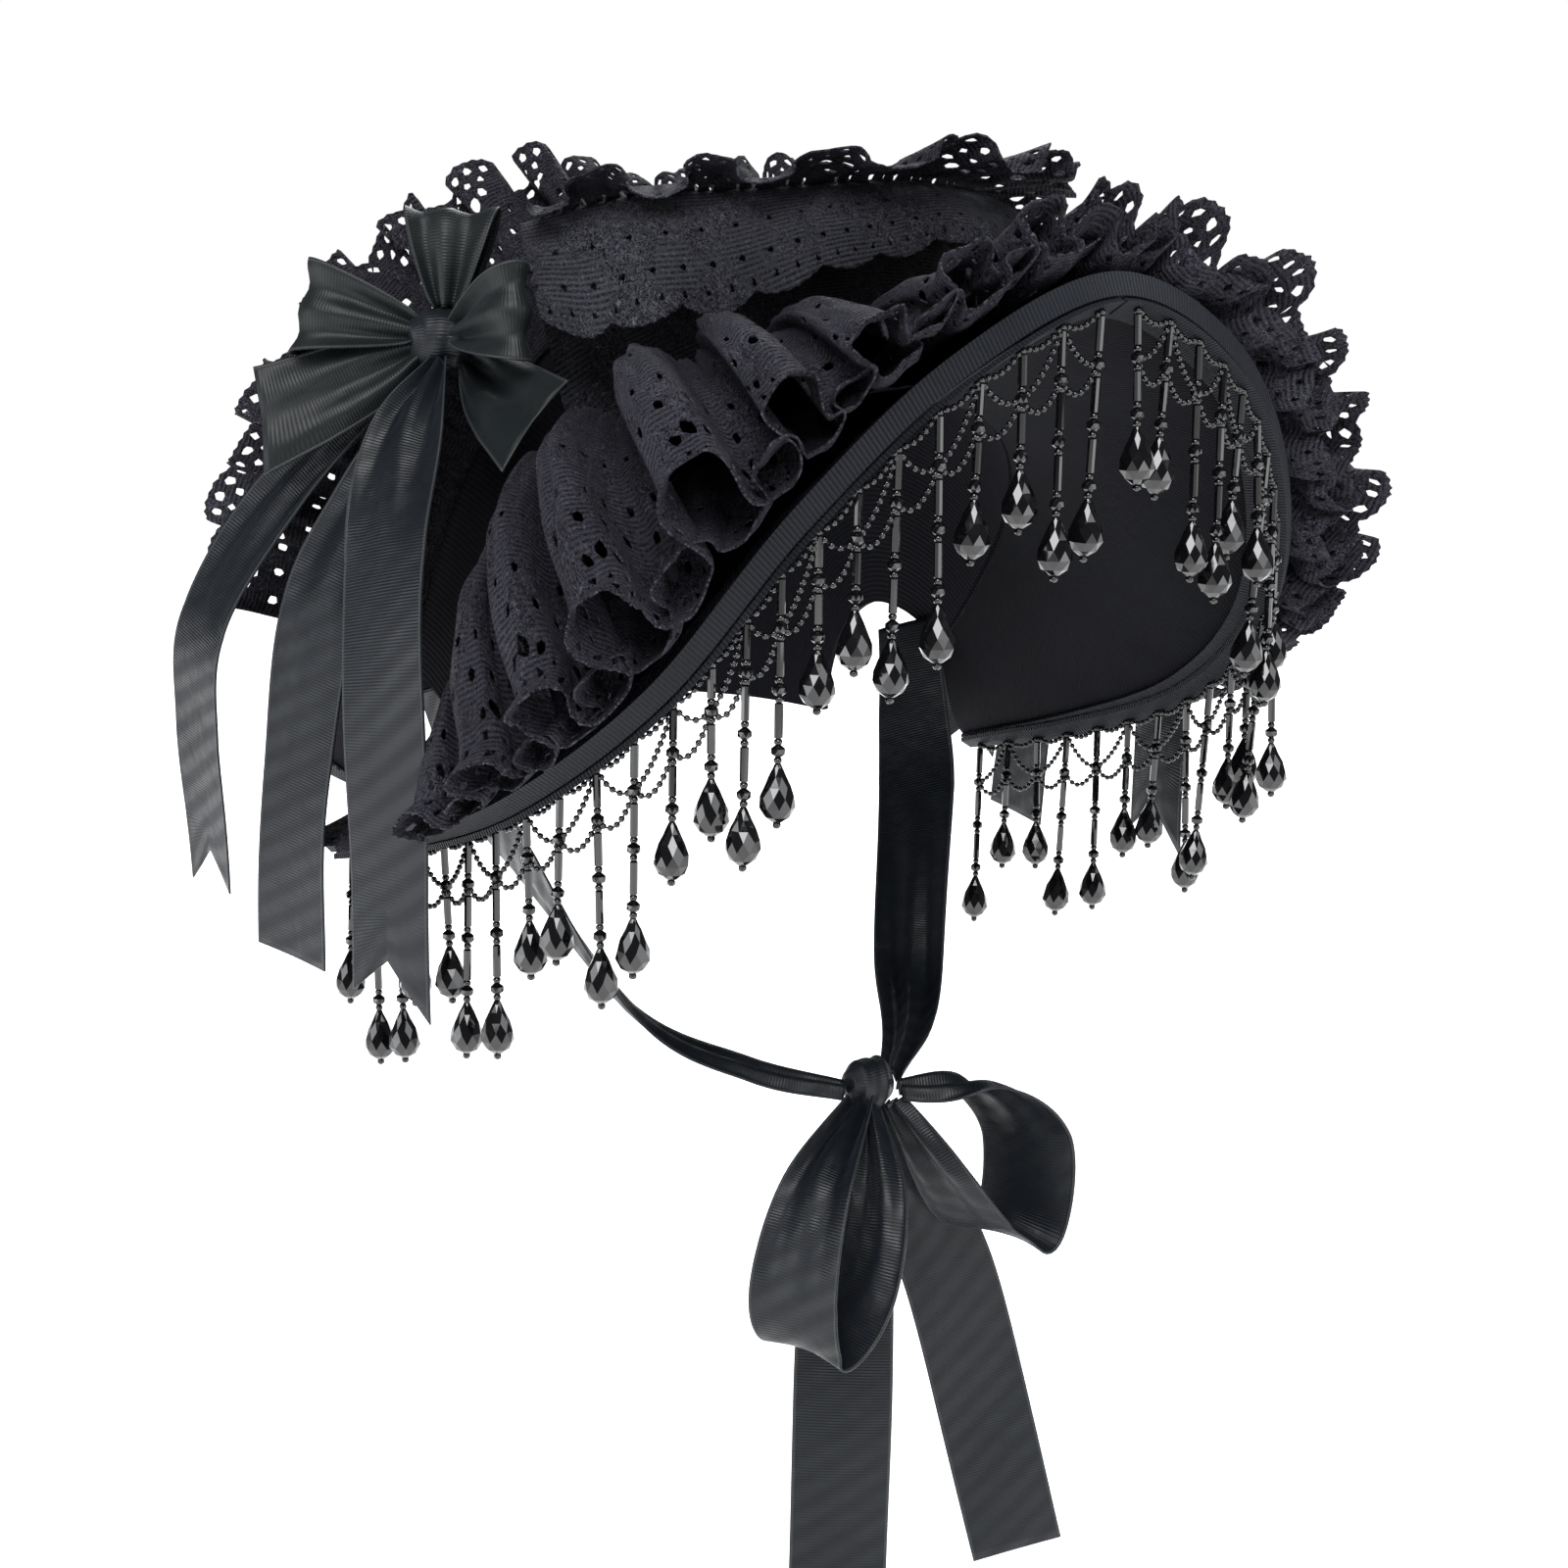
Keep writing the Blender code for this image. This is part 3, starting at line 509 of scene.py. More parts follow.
makeCamera(viewFrom)
makeLights(lights)


# lace: a flat pattern of threads and openings, hung on a surface

laceCut = dict(cell=1.3, wall=0.45 * mm, lobe=23.0, lobeRise=3.6, picot=2.6, picotRise=0.5, holeStep=4.4, crumb=400,
    holeRadius=1.2, eyeletStep=8.6, eyeletRadius=1.3)


def bandPattern(u, v, depth, cut):
    # a close lace with a scalloped, picot edge and a few pinholes
    rise = 2.2 * np.abs(np.sin(math.pi * u / 17)) ** 0.8
    field = depth + rise - 2.2 + 0.4 * np.abs(np.sin(math.pi * u / cut["picot"])) - v
    for row, (place, radius) in enumerate(((3.4, 0.75), (8.0, 0.85), (15.0, 0.8))):
        du = (u + row * 2.7) % (5.4 + 1.6 * row) - (2.7 + 0.8 * row)
        field = np.minimum(field, np.hypot(du, depth - v - place) - radius)
    return field


def lacePattern(u, v, depth, cut, openness=1.0):
    # above zero where there is lace, in millimetres from its outline
    rise = cut["lobeRise"] * np.abs(np.sin(math.pi * u / cut["lobe"])) ** 0.7
    e = depth + rise - cut["lobeRise"] + cut["picotRise"] * np.abs(np.sin(math.pi * u / cut["picot"])) - v
    field = e.copy()

    def dots(centreE, step, offset, radius, where=None, stretch=1.0):
        du = (u + offset) % step - step / 2
        away = np.hypot(du / stretch, e - centreE) - radius
        if where is not None:
            away = np.where(where, away, 9.0)
        return away

    lobe = np.abs(np.sin(math.pi * u / cut["lobe"]))
    step = cut["holeStep"]
    r = cut["holeRadius"] * openness
    field = np.minimum(field, dots(2.9, step, 0.0, r))
    field = np.minimum(field, dots(6.6, step, step / 2, r * 0.86, lobe > 0.45))
    centre = np.mod(u, cut["lobe"]) - cut["lobe"] / 2
    for du, de, radius in ((-4.2, 10.6, 1.3), (0.0, 12.0, 1.8), (4.2, 10.6, 1.3)):
        field = np.minimum(field, np.hypot(centre - du, e - de) - radius * openness)
    flat = depth - v
    for row, (place, radius) in enumerate(((18.5, 1.0), (25.0, 0.86), (36.0, 0.9))):
        du = (u + row * cut["eyeletStep"] / 2) % cut["eyeletStep"] - cut["eyeletStep"] / 2
        field = np.minimum(field, np.hypot(du, flat - place) - cut["eyeletRadius"] * radius)
    return field


def cutSheet(name, width, depth, surface, pattern, cell, material, backwards=False):
    # squares of flat cloth, trimmed where the pattern crosses zero, then hung on the surface
    nu = int(round(width / cell))
    vs = depth + 3.0 - np.concatenate([np.arange(int(32 / cell)) * cell, np.arange(32, depth + 3.0, cell * 1.9)])
    vs = np.append(vs[vs > 0.4 * cell], 0.0)[::-1]
    us = np.linspace(0, width, nu + 1)
    gridU, gridV = np.meshgrid(us, vs, indexing="ij")
    field = pattern(gridU, gridV)
    inside = field > 0
    flat = [np.stack([gridU[inside], gridV[inside]], 1)]
    nodeId = np.full(inside.shape, -1, np.int64)
    nodeId[inside] = np.arange(inside.sum())
    count = int(inside.sum())
    edges = []
    for axis in (0, 1):
        a = field[:-1] if axis == 0 else field[:, :-1]
        b = field[1:] if axis == 0 else field[:, 1:]
        crossing = (a > 0) != (b > 0)
        share = np.clip(a / np.where(crossing, a - b, 1), 0.1, 0.9)
        ids = np.full(crossing.shape, -1, np.int64)
        ids[crossing] = count + np.arange(crossing.sum())
        count += int(crossing.sum())
        startU = (gridU[:-1] if axis == 0 else gridU[:, :-1])[crossing]
        startV = (gridV[:-1] if axis == 0 else gridV[:, :-1])[crossing]
        stepU = (us[1] - us[0]) if axis == 0 else 0.0
        stepV = (gridV[:, 1:] - gridV[:, :-1])[crossing] if axis == 1 else 0.0
        flat.append(np.stack([startU + share[crossing] * stepU, startV + share[crossing] * stepV], 1))
        edges.append(ids)
    flat = np.vstack(flat)
    corners = [nodeId[:-1, :-1], nodeId[1:, :-1], nodeId[1:, 1:], nodeId[:-1, 1:]]
    sides = [edges[0][:, :-1], edges[1][1:, :], edges[0][:, 1:], edges[1][:-1, :]]
    rounds = np.stack([x for pair in zip(corners, sides) for x in pair], -1).reshape(-1, 8)
    full = (rounds[:, ::2] >= 0).all(1)
    faces = rounds[full][:, ::2].tolist()
    for row in rounds[~full & (rounds >= 0).any(1)].tolist():
        face = [x for x in row if x >= 0]
        if len(face) > 2:
            faces.append(face)
    if backwards:
        faces = [face[::-1] for face in faces]
    made = newObject(name, surface(flat[:, 0], flat[:, 1]), faces, flat, material)
    bm = bmesh.new()
    bm.from_mesh(made.data)
    # crumbs of lace that are joined to nothing go
    seen, loose = set(), []
    bm.verts.ensure_lookup_table()
    for start in bm.verts:
        if start.index in seen:
            continue
        group, stack = [], [start]
        seen.add(start.index)
        while stack:
            v = stack.pop()
            group.append(v)
            for e in v.link_edges:
                other = e.other_vert(v)
                if other.index not in seen:
                    seen.add(other.index)
                    stack.append(other)
        if len(group) < laceCut["crumb"]:
            loose += group
    bmesh.ops.delete(bm, geom=loose, context="VERTS")
    bm.to_mesh(made.data)
    bm.free()
    return made


def flatMap(edgePoint, reach):
    # flat millimetres along the free edge to the arch's share
    s = np.linspace(-reach, reach, 2400)
    length = arcLengths(edgePoint(s)) / mm
    return length[-1], lambda u: np.interp(u, length, s)


def wrinkles(u, v, depth, size):
    # small uneven pleats from the gathers, fading towards the free edge
    share = np.clip(v / depth, 0, 1)
    fan = 1 - 0.6 * share
    wander = 3.0 * np.sin(v * 0.11 + 0.6 * np.sin(u * 0.031))
    a = np.sin((u + wander) * 0.62 + 1.3 * np.sin(u * 0.043)) * fan
    b = 0.6 * np.sin((u - wander) * 1.13 + 2.0 + 1.7 * np.sin(u * 0.071)) * fan**2
    c = 0.5 * np.sin(v * 0.34 + 2.2 * np.sin(u * 0.09)) * share
    return size * (a + b + c)


frontRuffle = dict(
    reach=0.98, folds=25, start=0.06, end=1.02, sideEnd=0.13, stand=25 * mm, puff=7 * mm, sidePuff=12 * mm, rise=5 * mm,
    sideRise=-3 * mm, depth=7 * mm, sideDepth=5 * mm, sag=0.2, sideSag=0.02, swell=3.6 * mm, cloth=66.0, wrinkle=0.8 * mm,
)


underRuffle = dict(frontRuffle, start=0.10, puff=4 * mm, sidePuff=3 * mm, stand=3 * mm, rise=2 * mm, sideRise=0,
    depth=4.2 * mm, sideDepth=1.6 * mm, end=1.06, sideEnd=0.07, swell=2.6 * mm, shift=2.6, cloth=62.0)


def frontRuffleForm(s, w, f=frontRuffle):
    along, forward, out = brimFrame(s)
    phase = foldPhase(s, f["folds"]) + 0.5 * np.sin(3.0 * w + 8 * s) * w + f.get("shift", 0.0)
    side = eased(0.05, 0.36, np.abs(s))
    stand = side * (1 - eased(0.56, 0.70, np.abs(s))) * np.minimum(w / 0.12, 1) * np.maximum(1 - w, 0)
    free = 1 - 0.92 * eased(0.67, 0.78, np.abs(s))
    puff = (f["puff"] + f["sidePuff"] * side) * np.sin(math.pi * np.minimum(w * 1.1, 1))
    rise = (f["rise"] + f["sideRise"] * side) * w
    fold = (f["depth"] + f["sideDepth"] * side) * w**0.5 * foldShare(s) * (np.sin(phase) + w)
    height = f["stand"] * stand + (puff + rise + fold) * free
    end = f["end"] + f["sideEnd"] * eased(0.03, 0.2, np.abs(s))
    place = brimPoint(s, f["start"] + (end - f["start"]) * w)
    place = place + forward * col((f["sag"] + f["sideSag"] * side) * height * w)
    place = place + out * col(form["laceClearance"] * (1 + 1.9 * w) + height)
    return place - along * col(f["swell"] * w * np.sin(2 * phase) * free), out, free


overRuffle = dict(reach=0.58, folds=13, behind=3 * mm, lean=48, length=22 * mm, sideLoss=6 * mm, fuller=8 * mm,
    depth=4.5 * mm, swell=2.4 * mm, cloth=24.0, wrinkle=0.5 * mm)


def overRuffleForm(s, w):
    f = overRuffle
    forward, out = bandFrame(s, laceBand["reach"])
    along = unit(np.cross(out, forward))
    phase = foldPhase(s, f["folds"]) + 0.9 + 0.4 * np.sin(2.5 * w + 9 * s) * w
    lean = math.radians(f["lean"])
    length = f["length"] - f["sideLoss"] * eased(0, f["reach"], np.abs(s)) + f["fuller"] * eased(-0.3, 0.15, s)
    reach = forward * math.cos(lean) + out * math.sin(lean)
    across = out * math.cos(lean) - forward * math.sin(lean)
    place = bandRails(s, laceBand["reach"])[0] - forward * f["behind"] + reach * col(length * w)
    place = place + across * col(f["depth"] * foldShare(s + 0.4) * w * np.sin(phase))
    return place - along * col(f["swell"] * w * np.sin(2 * phase)), across, 1.0


laceBand = dict(reach=0.62, folds=9, bow=3 * mm, depth=1.5 * mm, turn=math.radians(57), cloth=25.0)


def laceBandForm(s, w):
    f = laceBand
    back, front = bandRails(s, f["reach"])
    forward, out = bandFrame(s, f["reach"])
    lift = f["bow"] * 4 * w * (1 - w) + f["depth"] * w * np.sin(math.pi * f["folds"] * s)
    return back + (front - back) * col(w) + out * col(lift), out, 1.0


crestRuffle = dict(
    reach=0.98, folds=17, turn=math.radians(76), length=42 * mm, sideLength=16 * mm, sideLean=44, topLean=40,
    upright=0.35, depth=8 * mm, swell=3.2 * mm, cloth=56.0, wrinkle=0.8 * mm,
)


def crestRuffleForm(s, w):
    f = crestRuffle
    along, back, out = crownFrame(s, f["turn"])
    phase = foldPhase(s, f["folds"]) + 2.0 + 0.45 * np.sin(2.8 * w + 7 * s) * w
    lean = np.radians(f["sideLean"] + f["topLean"] * np.cos(math.pi * s / 2) ** 2)
    side = np.sin(math.pi * np.minimum(np.abs(s) * 1.15, 1)) ** 2
    reach = unit(back * col(np.sin(lean)) + out * col(np.cos(lean)) + at(0, 0, f["upright"] * side))
    across = unit(back * col(np.cos(lean)) - out * col(np.sin(lean)))
    length = f["length"] + f["sideLength"] * eased(0.1, 0.8, np.abs(s))
    place = crownPoint(s, f["turn"]) + out * form["laceClearance"] + reach * col(length * w)
    place = place + across * col(f["depth"] * foldShare(s + 0.8) * w * np.sin(phase))
    return place - along * col(f["swell"] * w * np.sin(2 * phase)), across, 1.0


def makeTier(name, node, shape, f, material, openness=1.0, cell=None, behindSeam=False):
    # behindSeam adds flat cloth from the seam down to the crown, as deep as the mean way there
    width, toShare = flatMap(lambda s: shape(s, np.ones_like(s))[0], f["reach"])
    s = np.linspace(-f["reach"], f["reach"], 600)
    back = 0.0
    if behindSeam:
        root = crownPoint(s, np.full_like(s, f["turn"]))
        back = float(np.mean(np.linalg.norm(shape(s, np.zeros_like(s))[0] - root, axis=1))) / mm
    depth = f["cloth"]
    cell = cell or laceCut["cell"]

    def hung(u, v):
        s = toShare(u)
        front = np.maximum(v - back, 0)
        place, face, free = shape(s, front / depth)
        place = place + face * col(wrinkles(u, front, depth, f.get("wrinkle", 0.0)) * np.clip(front / 6, 0, 1) * free)
        if back:
            under = np.clip(1 - v / back, 0, 1)
            root = crownPoint(s, f["turn"]) + crownFrame(s, f["turn"])[2] * form["laceClearance"]
            place = place * col(1 - under) + root * col(under)
        return place

    def pattern(u, v):
        return lacePattern(u, v, depth + back, laceCut, openness) if openness else bandPattern(u, v, depth + back,
            laceCut)

    made = cutSheet(name, width, depth + back, hung, pattern, cell, material, True)
    solidified(made, laceCut["wall"])
    declared(made, node)
    seam = arcLengths(shape(s, np.zeros_like(s))[0])[-1] / mm
    print(name, "flat", round(width), "x", round(depth + back), "mm, seam", round(seam), "mm,", len(made.data.polygons),
        "faces")
    return made, width, depth + back, (width + seam) / 2 / width


print("lace tiers")
makeTier("front_ruffle_lace", "front_ruffle", frontRuffleForm, frontRuffle, lace)
makeTier("under_ruffle_lace", "front_ruffle", lambda s, w: frontRuffleForm(s, w, underRuffle),
    underRuffle, lace, 0.9, 1.45)
makeTier("crest_ruffle_lace", "crest_ruffle", crestRuffleForm, crestRuffle, lace, 1.1)
makeTier("over_ruffle_lace", "over_ruffle", overRuffleForm, dict(overRuffle, turn=math.radians(62)),
    lace, 1.0, 1.2, True)
makeTier("lace_band_lace", "lace_band", laceBandForm, laceBand, bandLace, 0.0, 1.0, True)


# brim, crown and binding

brimLook = dict(across=170, down=22, pucker=0.25 * mm)


def makeBrim(b):
    s = np.linspace(-1, 1, b["across"] + 1)
    w = np.concatenate([[0.008], np.linspace(0.03, 1, b["down"])])
    gs, gw = np.meshgrid(s, w, indexing="ij")
    top = brimPoint(gs, gw)
    out = brimFrame(gs)[2]
    pucker = b["pucker"] * np.sin(gs * 90) * np.sin(math.pi * gw) * eased(0.6, 0.9, gw)
    under = top - out * form["brimWall"] + out * col(pucker)
    along = arcLengths(edgeLine(s)) / mm
    deep = np.linalg.norm(edgeLine(gs) - frontLine(gs), axis=-1) / mm * gw
    uvs = np.stack([np.broadcast_to(along[:, None], gs.shape), deep], -1).reshape(-1, 2)
    made = slabObject("brim_cloth_cover", top, under, uvs, brimCloth)
    declared(made, "brim")


crownLook = dict(across=96, back=72, panel=(-0.34, 0.34))


def makeCrown(c):
    s = np.linspace(-1, 1, c["across"] + 1)
    turn = np.linspace(form["frontLine"], math.pi, c["back"] + 1)
    gs, gt = np.meshgrid(s, turn, indexing="ij")
    outer = crownPoint(gs, gt)
    out = crownFrame(np.clip(gs, -0.995, 0.995), gt)[2]
    seam = sum(np.exp(-(((gs - p) / 0.012) ** 2)) for p in c["panel"])
    ease = 0.35 * mm * np.sin(gt * 46 + 3 * np.sin(gs * 5)) * sum(np.exp(-(((gs - p) / 0.06) ** 2)) for p in c["panel"])
    outer = outer - out * col(0.5 * mm * seam) + out * col(ease)
    inner = crownPoint(gs, gt) - out * form["crownWall"]
    lengthS = arcLengths(crownPoint(s, np.full_like(s, math.radians(100)))) / mm
    lengthT = arcLengths(crownPoint(np.zeros_like(turn), turn)) / mm
    uvs = np.stack(np.meshgrid(lengthS, lengthT, indexing="ij"), -1).reshape(-1, 2)
    made = slabObject("crown_cloth_cover", outer, inner, uvs, crownCloth)
    declared(made, "crown")


def bindingSection(s, clear):
    along, forward, out = brimFrame(s)
    back, edge = brimPoint(s, np.full_like(s, form["bindingShare"])), edgeLine(s) + forward * clear
    under = out * (form["brimWall"] + clear)
    return back + out * clear, edge + out * clear, edge - under, back - under


bindingLook = dict(across=300, stops=(0, 0.33, 0.66, 0.93, 1, 1.03, 1.2, 1.5, 1.8, 1.97, 2, 2.07, 2.34, 2.67, 3))


def makeBinding(b):
    s = np.linspace(-1, 1, b["across"] + 1)

    def side(clear):
        rows = bindingSection(s, clear)
        lines = []
        for stop in b["stops"]:
            i = min(int(stop), 2)
            lines.append(rows[i] + (rows[i + 1] - rows[i]) * (stop - i))
        return np.stack(lines, 1)

    outer, inner = side(form["bindingGap"] + form["bindingWall"]), side(form["bindingGap"])
    along = arcLengths(edgeLine(s)) / mm
    deep = arcLengths(outer[len(s) // 2]) / mm
    uvs = np.stack(np.meshgrid(along, deep, indexing="ij"), -1).reshape(-1, 2)
    made = slabObject("edge_binding_ribbon", outer, inner, uvs, grosgrain)
    declared(made, "edge_binding")


print("brim, crown and binding")
makeBrim(brimLook)
makeCrown(crownLook)
makeBinding(bindingLook)


# ribbons

ribbonCut = dict(width=25 * mm, wall=0.5 * mm, columns=16, rows=90, pleat=1.7 * mm, cup=0.7 * mm, ripple=0.5 * mm)
bowForm = dict(
    knotFuller=(1.35, 1.12, 1.15),
    out=88 * mm, leftSetIn=0.8 * mm, forward=27 * mm, down=20 * mm, knot=(6.4 * mm, 6.4 * mm,
        5.6 * mm), reach=6.55 * mm,
    loop=28 * mm, swell=6 * mm, gap=3.4 * mm, rise=6.5 * mm, fall=150 * mm,
)
bowLoops = (("loop_front", 4, 0.88, 1.15), ("loop_top", 88, 0.85, 0.0), ("loop_back", 168, 1.0, 0.0))
bowTails = (("tail_front", -46, 0.95, 4.2, (0, 3, 9)), ("tail_back", 205, 1.35, 0.3, (8, 3, 0)))
streamerRows = (  # out, forward, down, width, turn
    ("streamer_front", ((0.0230, 0.0205, 0.0345, 0.16, -40), (0.120, 0.080, 0.130, 0.75, -30),
        (0.215, 0.160, 0.300, 1.00, -14), (0.260, 0.225, 0.580, 1.00, -14), (0.265, 0.240, 0.940, 1.00, -14)),
        (5, -4, 9)),
    ("streamer_middle", ((0.018, -0.012, 0.044, 0.16, -20), (0.130, -0.025, 0.240, 0.80, -16),
        (0.210, -0.050, 0.420, 1.00, -12), (0.245, -0.080, 0.700, 1.00, -10), (0.245, -0.110, 1.000, 1.00, -10)),
        (0, 0, 0)),
    ("streamer_back", ((0.004, -0.036, 0.030, 0.16, -20), (0.190, -0.190, 0.250, 0.80, -10),
        (0.310, -0.250, 0.450, 1.00, 0), (0.310, -0.290, 0.640, 1.00, 4), (0.290, -0.310, 0.880, 1.00, 4)), (8, -4, 4)),
)
chinForm = dict(forward=84 * mm, down=208 * mm, fall=136 * mm, knot=(7 * mm, 7 * mm, 5.5 * mm))
chinStrap = ((0.585, -0.560, -0.740, 1.00, 0), (0.550, -0.500, -0.560, 1.00, 4), (0.490, -0.420, -0.400, 1.00, 8),
    (0.340, -0.260, -0.130, 0.80, 20), (0.200, -0.110, -0.040, 0.55, 30), (0.059, 0.000, 0.000, 0.25, 40))
chinBow = (
    ("tail_right", -1, ((0.026, 0.000, 0.049, 0.20, -54), (0.070, 0.030, 0.200, 0.85, -54),
        (0.115, 0.080, 0.480, 1.00, -54), (0.150, 0.115, 1.000, 1.00, -54))),
    ("tail_left", 1, ((0.026, 0.000, 0.049, 0.20, 54), (0.100, -0.030, 0.200, 0.80, 60),
        (0.220, 0.010, 0.450, 1.00, 62), (0.345, 0.100, 1.040, 1.00, 58))),
    ("loop_right", -1, ((0.046, 0.036, 0.012, 0.30, -10), (0.230, 0.130, 0.110, 0.80, -14),
        (0.310, 0.160, 0.300, 1.00, -16), (0.280, 0.165, 0.400, 1.00, -16), (0.185, 0.160, 0.330, 1.00, -16),
        (0.110, 0.130, 0.170, 0.80, -20), (0.027, 0.029, 0.029, 0.25, -30))),
    ("loop_left", 1, ((0.046, 0.036, 0.010, 0.30, 20), (0.180, 0.110, 0.010, 0.80, 24), (0.290, 0.130, 0.130, 1.00, 24),
        (0.280, 0.130, 0.310, 1.00, 24), (0.180, 0.120, 0.290, 1.00, 20), (0.090, 0.100, 0.170, 0.80, 16),
        (0.032, 0.034, 0.032, 0.25, 10))),
)


def ribbonSheet(name, node, centres, directions, widths, cut, material, seed=0.0):
    c = ribbonCut
    n = len(centres)
    run = unit(np.gradient(centres, axis=0))
    turned = unit(directions - run * np.sum(directions * run, axis=-1, keepdims=True))
    face = np.cross(run, turned)
    x = np.sin(np.linspace(-1, 1, c["columns"] + 1) * math.pi / 2 * 0.92) / math.sin(math.pi / 2 * 0.92)
    length = arcLengths(centres) / mm
    gx, gl = np.meshgrid(x, length)
    width = widths[:, None]
    slack = np.sqrt(np.maximum((c["width"] / width) ** 2 - 1, 0))
    pleat = np.minimum(width * 0.075 * slack, c["pleat"]) * np.cos(gx * math.pi * 2.0 + 0.6 * math.sin(seed))
    share = np.clip((width / c["width"] - 0.2) / 0.8, 0, 1)
    cup = c["cup"] * share * (0.35 - gx**2) * math.cos(seed * 1.7)
    ripple = c["ripple"] * share * np.sin(gl * 0.085 + 2.1 * seed + 0.8 * gx) * np.clip(length / 25, 0, 1)[:, None]
    ends = np.zeros(n)
    ends[-1] = 1.0
    tail = np.clip((np.arange(n) - (n - 8)) / 7, 0, 1)
    trim = np.interp(x, (-1, 0, 1), [v * mm for v in cut])
    points = centres[:, None] + turned[:, None] * (gx * width / 2)[..., None] + face[:,
        None] * (pleat + cup + ripple)[..., None]
    points = points + run[:, None] * (tail[:, None] * trim[None])[..., None]
    uvs = np.stack([np.broadcast_to(gx * c["width"] / mm / 2, gx.shape), gl], -1).reshape(-1, 2)
    made = newObject(name, points.reshape(-1, 3), gridFaces(n, len(x)).tolist(), uvs, material)
    solidified(made, c["wall"])
    declared(made, node)
    return made


def hungRibbon(name, node, origin, side, size, table, cut, material, seed):
    rows = [(i, *row) for i, row in enumerate(table)]
    row = blended(rows, np.linspace(0, 1, ribbonCut["rows"]))
    centres = np.asarray(origin) + at(side * row[:, 1], -row[:, 2], -row[:, 3]) * size
    turn = np.radians(row[:, 5])
    directions = at(side * np.sin(turn), -np.cos(turn), np.zeros_like(turn))
    return ribbonSheet(name, node, centres, directions, row[:, 4] * ribbonCut["width"], cut, material, seed)


def makeKnot(name, node, centre, axes, radii, tilt=0.5):
    # a band wrapped round the gathers, with soft creases along its way round
    a, b = 48, 64
    p, t = np.meshgrid(np.linspace(0, math.pi, a), np.linspace(0, 2 * math.pi, b, endpoint=False), indexing="ij")
    crease = 0.05 * np.cos(6 * p + 0.7 * np.sin(t + 0.5)) + 0.03 * np.cos(11 * p + 1.3 * np.cos(t))
    swell = np.sin(p) ** 0.55 * (1 + crease * np.sin(p))
    along = np.cos(p) * (1 + 0.06 * np.sin(2 * t))
    shear = tilt * np.sin(t) * 0.25 * np.sin(p)
    points = np.asarray(centre) + axes[0] * col((along + shear) * radii[0]) + axes[1] * col(swell * np.cos(t) * radii[1] * 0.97) + axes[2] * col(swell * np.sin(t) * radii[2] * 0.97)
    verts = points.reshape(-1, 3)
    faces = [(i * b + j, i * b + (j + 1) % b, (i + 1) * b + (j + 1) % b,
        (i + 1) * b + j) for i in range(a - 1) for j in range(b)]
    uvs = np.stack([np.cos(p) * 11, t * 6.2], -1).reshape(-1, 2)
    made = newObject(name, verts, faces, uvs, satin)
    facedOut(made, 1e-6)
    declared(made, node)
    return made


def makeBow(side):
    b = bowForm
    name = "bow_left_" if side > 0 else "bow_right_"
    centre = at(side * (b["out"] - (b["leftSetIn"] if side > 0 else 0)), -b["forward"], -b["down"])
    normal = unit(at(side * 0.62, -0.74, 0.25))
    level = unit(np.cross((0, 0, 1), normal)) * -side
    rise = unit(at(0, 0, 1) - normal * normal[2])
    makeKnot(name + "knot_satin", name + "knot", centre, (level, rise, normal),
        [r * grow for r, grow in zip(b["knot"], b["knotFuller"])])
    for n, (label, angle, length, bend) in enumerate(bowLoops):
        a = math.radians(angle)
        direction = unit(level * math.cos(a) + rise * math.sin(a) + normal * bend)
        across = unit(np.cross(direction, normal))
        up = np.cross(across, direction)
        t = np.linspace(0, math.pi, ribbonCut["rows"])
        reach = b["reach"] + length * b["loop"] * np.sin(t) ** 0.8
        height = -(b["gap"] / 2 + b["swell"] * np.sin(t)) * np.cos(t)
        width = ribbonCut["width"] * (0.22 + 0.7 * np.sin(t) ** 0.6)
        centres = centre + direction * col(reach) + up * col(height)
        ribbonSheet(name + label + "_satin", name + label, centres, np.broadcast_to(across, centres.shape), width,
            (0, 0, 0), dullSatin, 0.3 + n)
    for n, (label, angle, length, riseShare, cut) in enumerate(bowTails):
        a = math.radians(angle)
        direction = level * math.cos(a) + rise * math.sin(a)
        across = np.cross(direction, normal)
        row = blended(((0, 0, 0.2, 0), (0.5, 0.35, 0.7, 0.2 * riseShare), (1, 1, 1, riseShare)), np.linspace(0, 1, 40))
        centres = centre + direction * col(b["reach"] + length * b["loop"] * row[:,
            1]) + normal * col(b["rise"] * row[:, 3])
        ribbonSheet(name + label + "_satin", name + label, centres, np.broadcast_to(across, centres.shape),
            row[:, 2] * ribbonCut["width"], cut, dullSatin, 1.2 + n)
    for n, (label, table, cut) in enumerate(streamerRows):
        hungRibbon(name + label + "_satin", name + label, centre, side, b["fall"], table, cut, satin, 0.4 + n)


def makeChinRibbon():
    c = chinForm
    knot = at(0, -c["forward"], -c["down"])
    makeKnot("chin_knot_satin", "chin_knot", knot, (at(1, 0, 0), at(0, 0, 1), at(0, 1, 0)), c["knot"])
    for side, label in ((1, "left"), (-1, "right")):
        hungRibbon("chin_strap_" + label + "_satin", "chin_strap_" + label, knot, side, c["fall"], chinStrap, (0, 0, 0),
            satin, 0.0)
    for n, (label, side, table) in enumerate(chinBow):
        hungRibbon("chin_" + label + "_satin", "chin_" + label, knot, side, c["fall"], table, (0, 0, 0), satin, 0.2 + n)


hemLook = dict(width=10.4, wall=0.6 * mm, clear=0.35 * mm, stitch=4.2, inset=1.3)


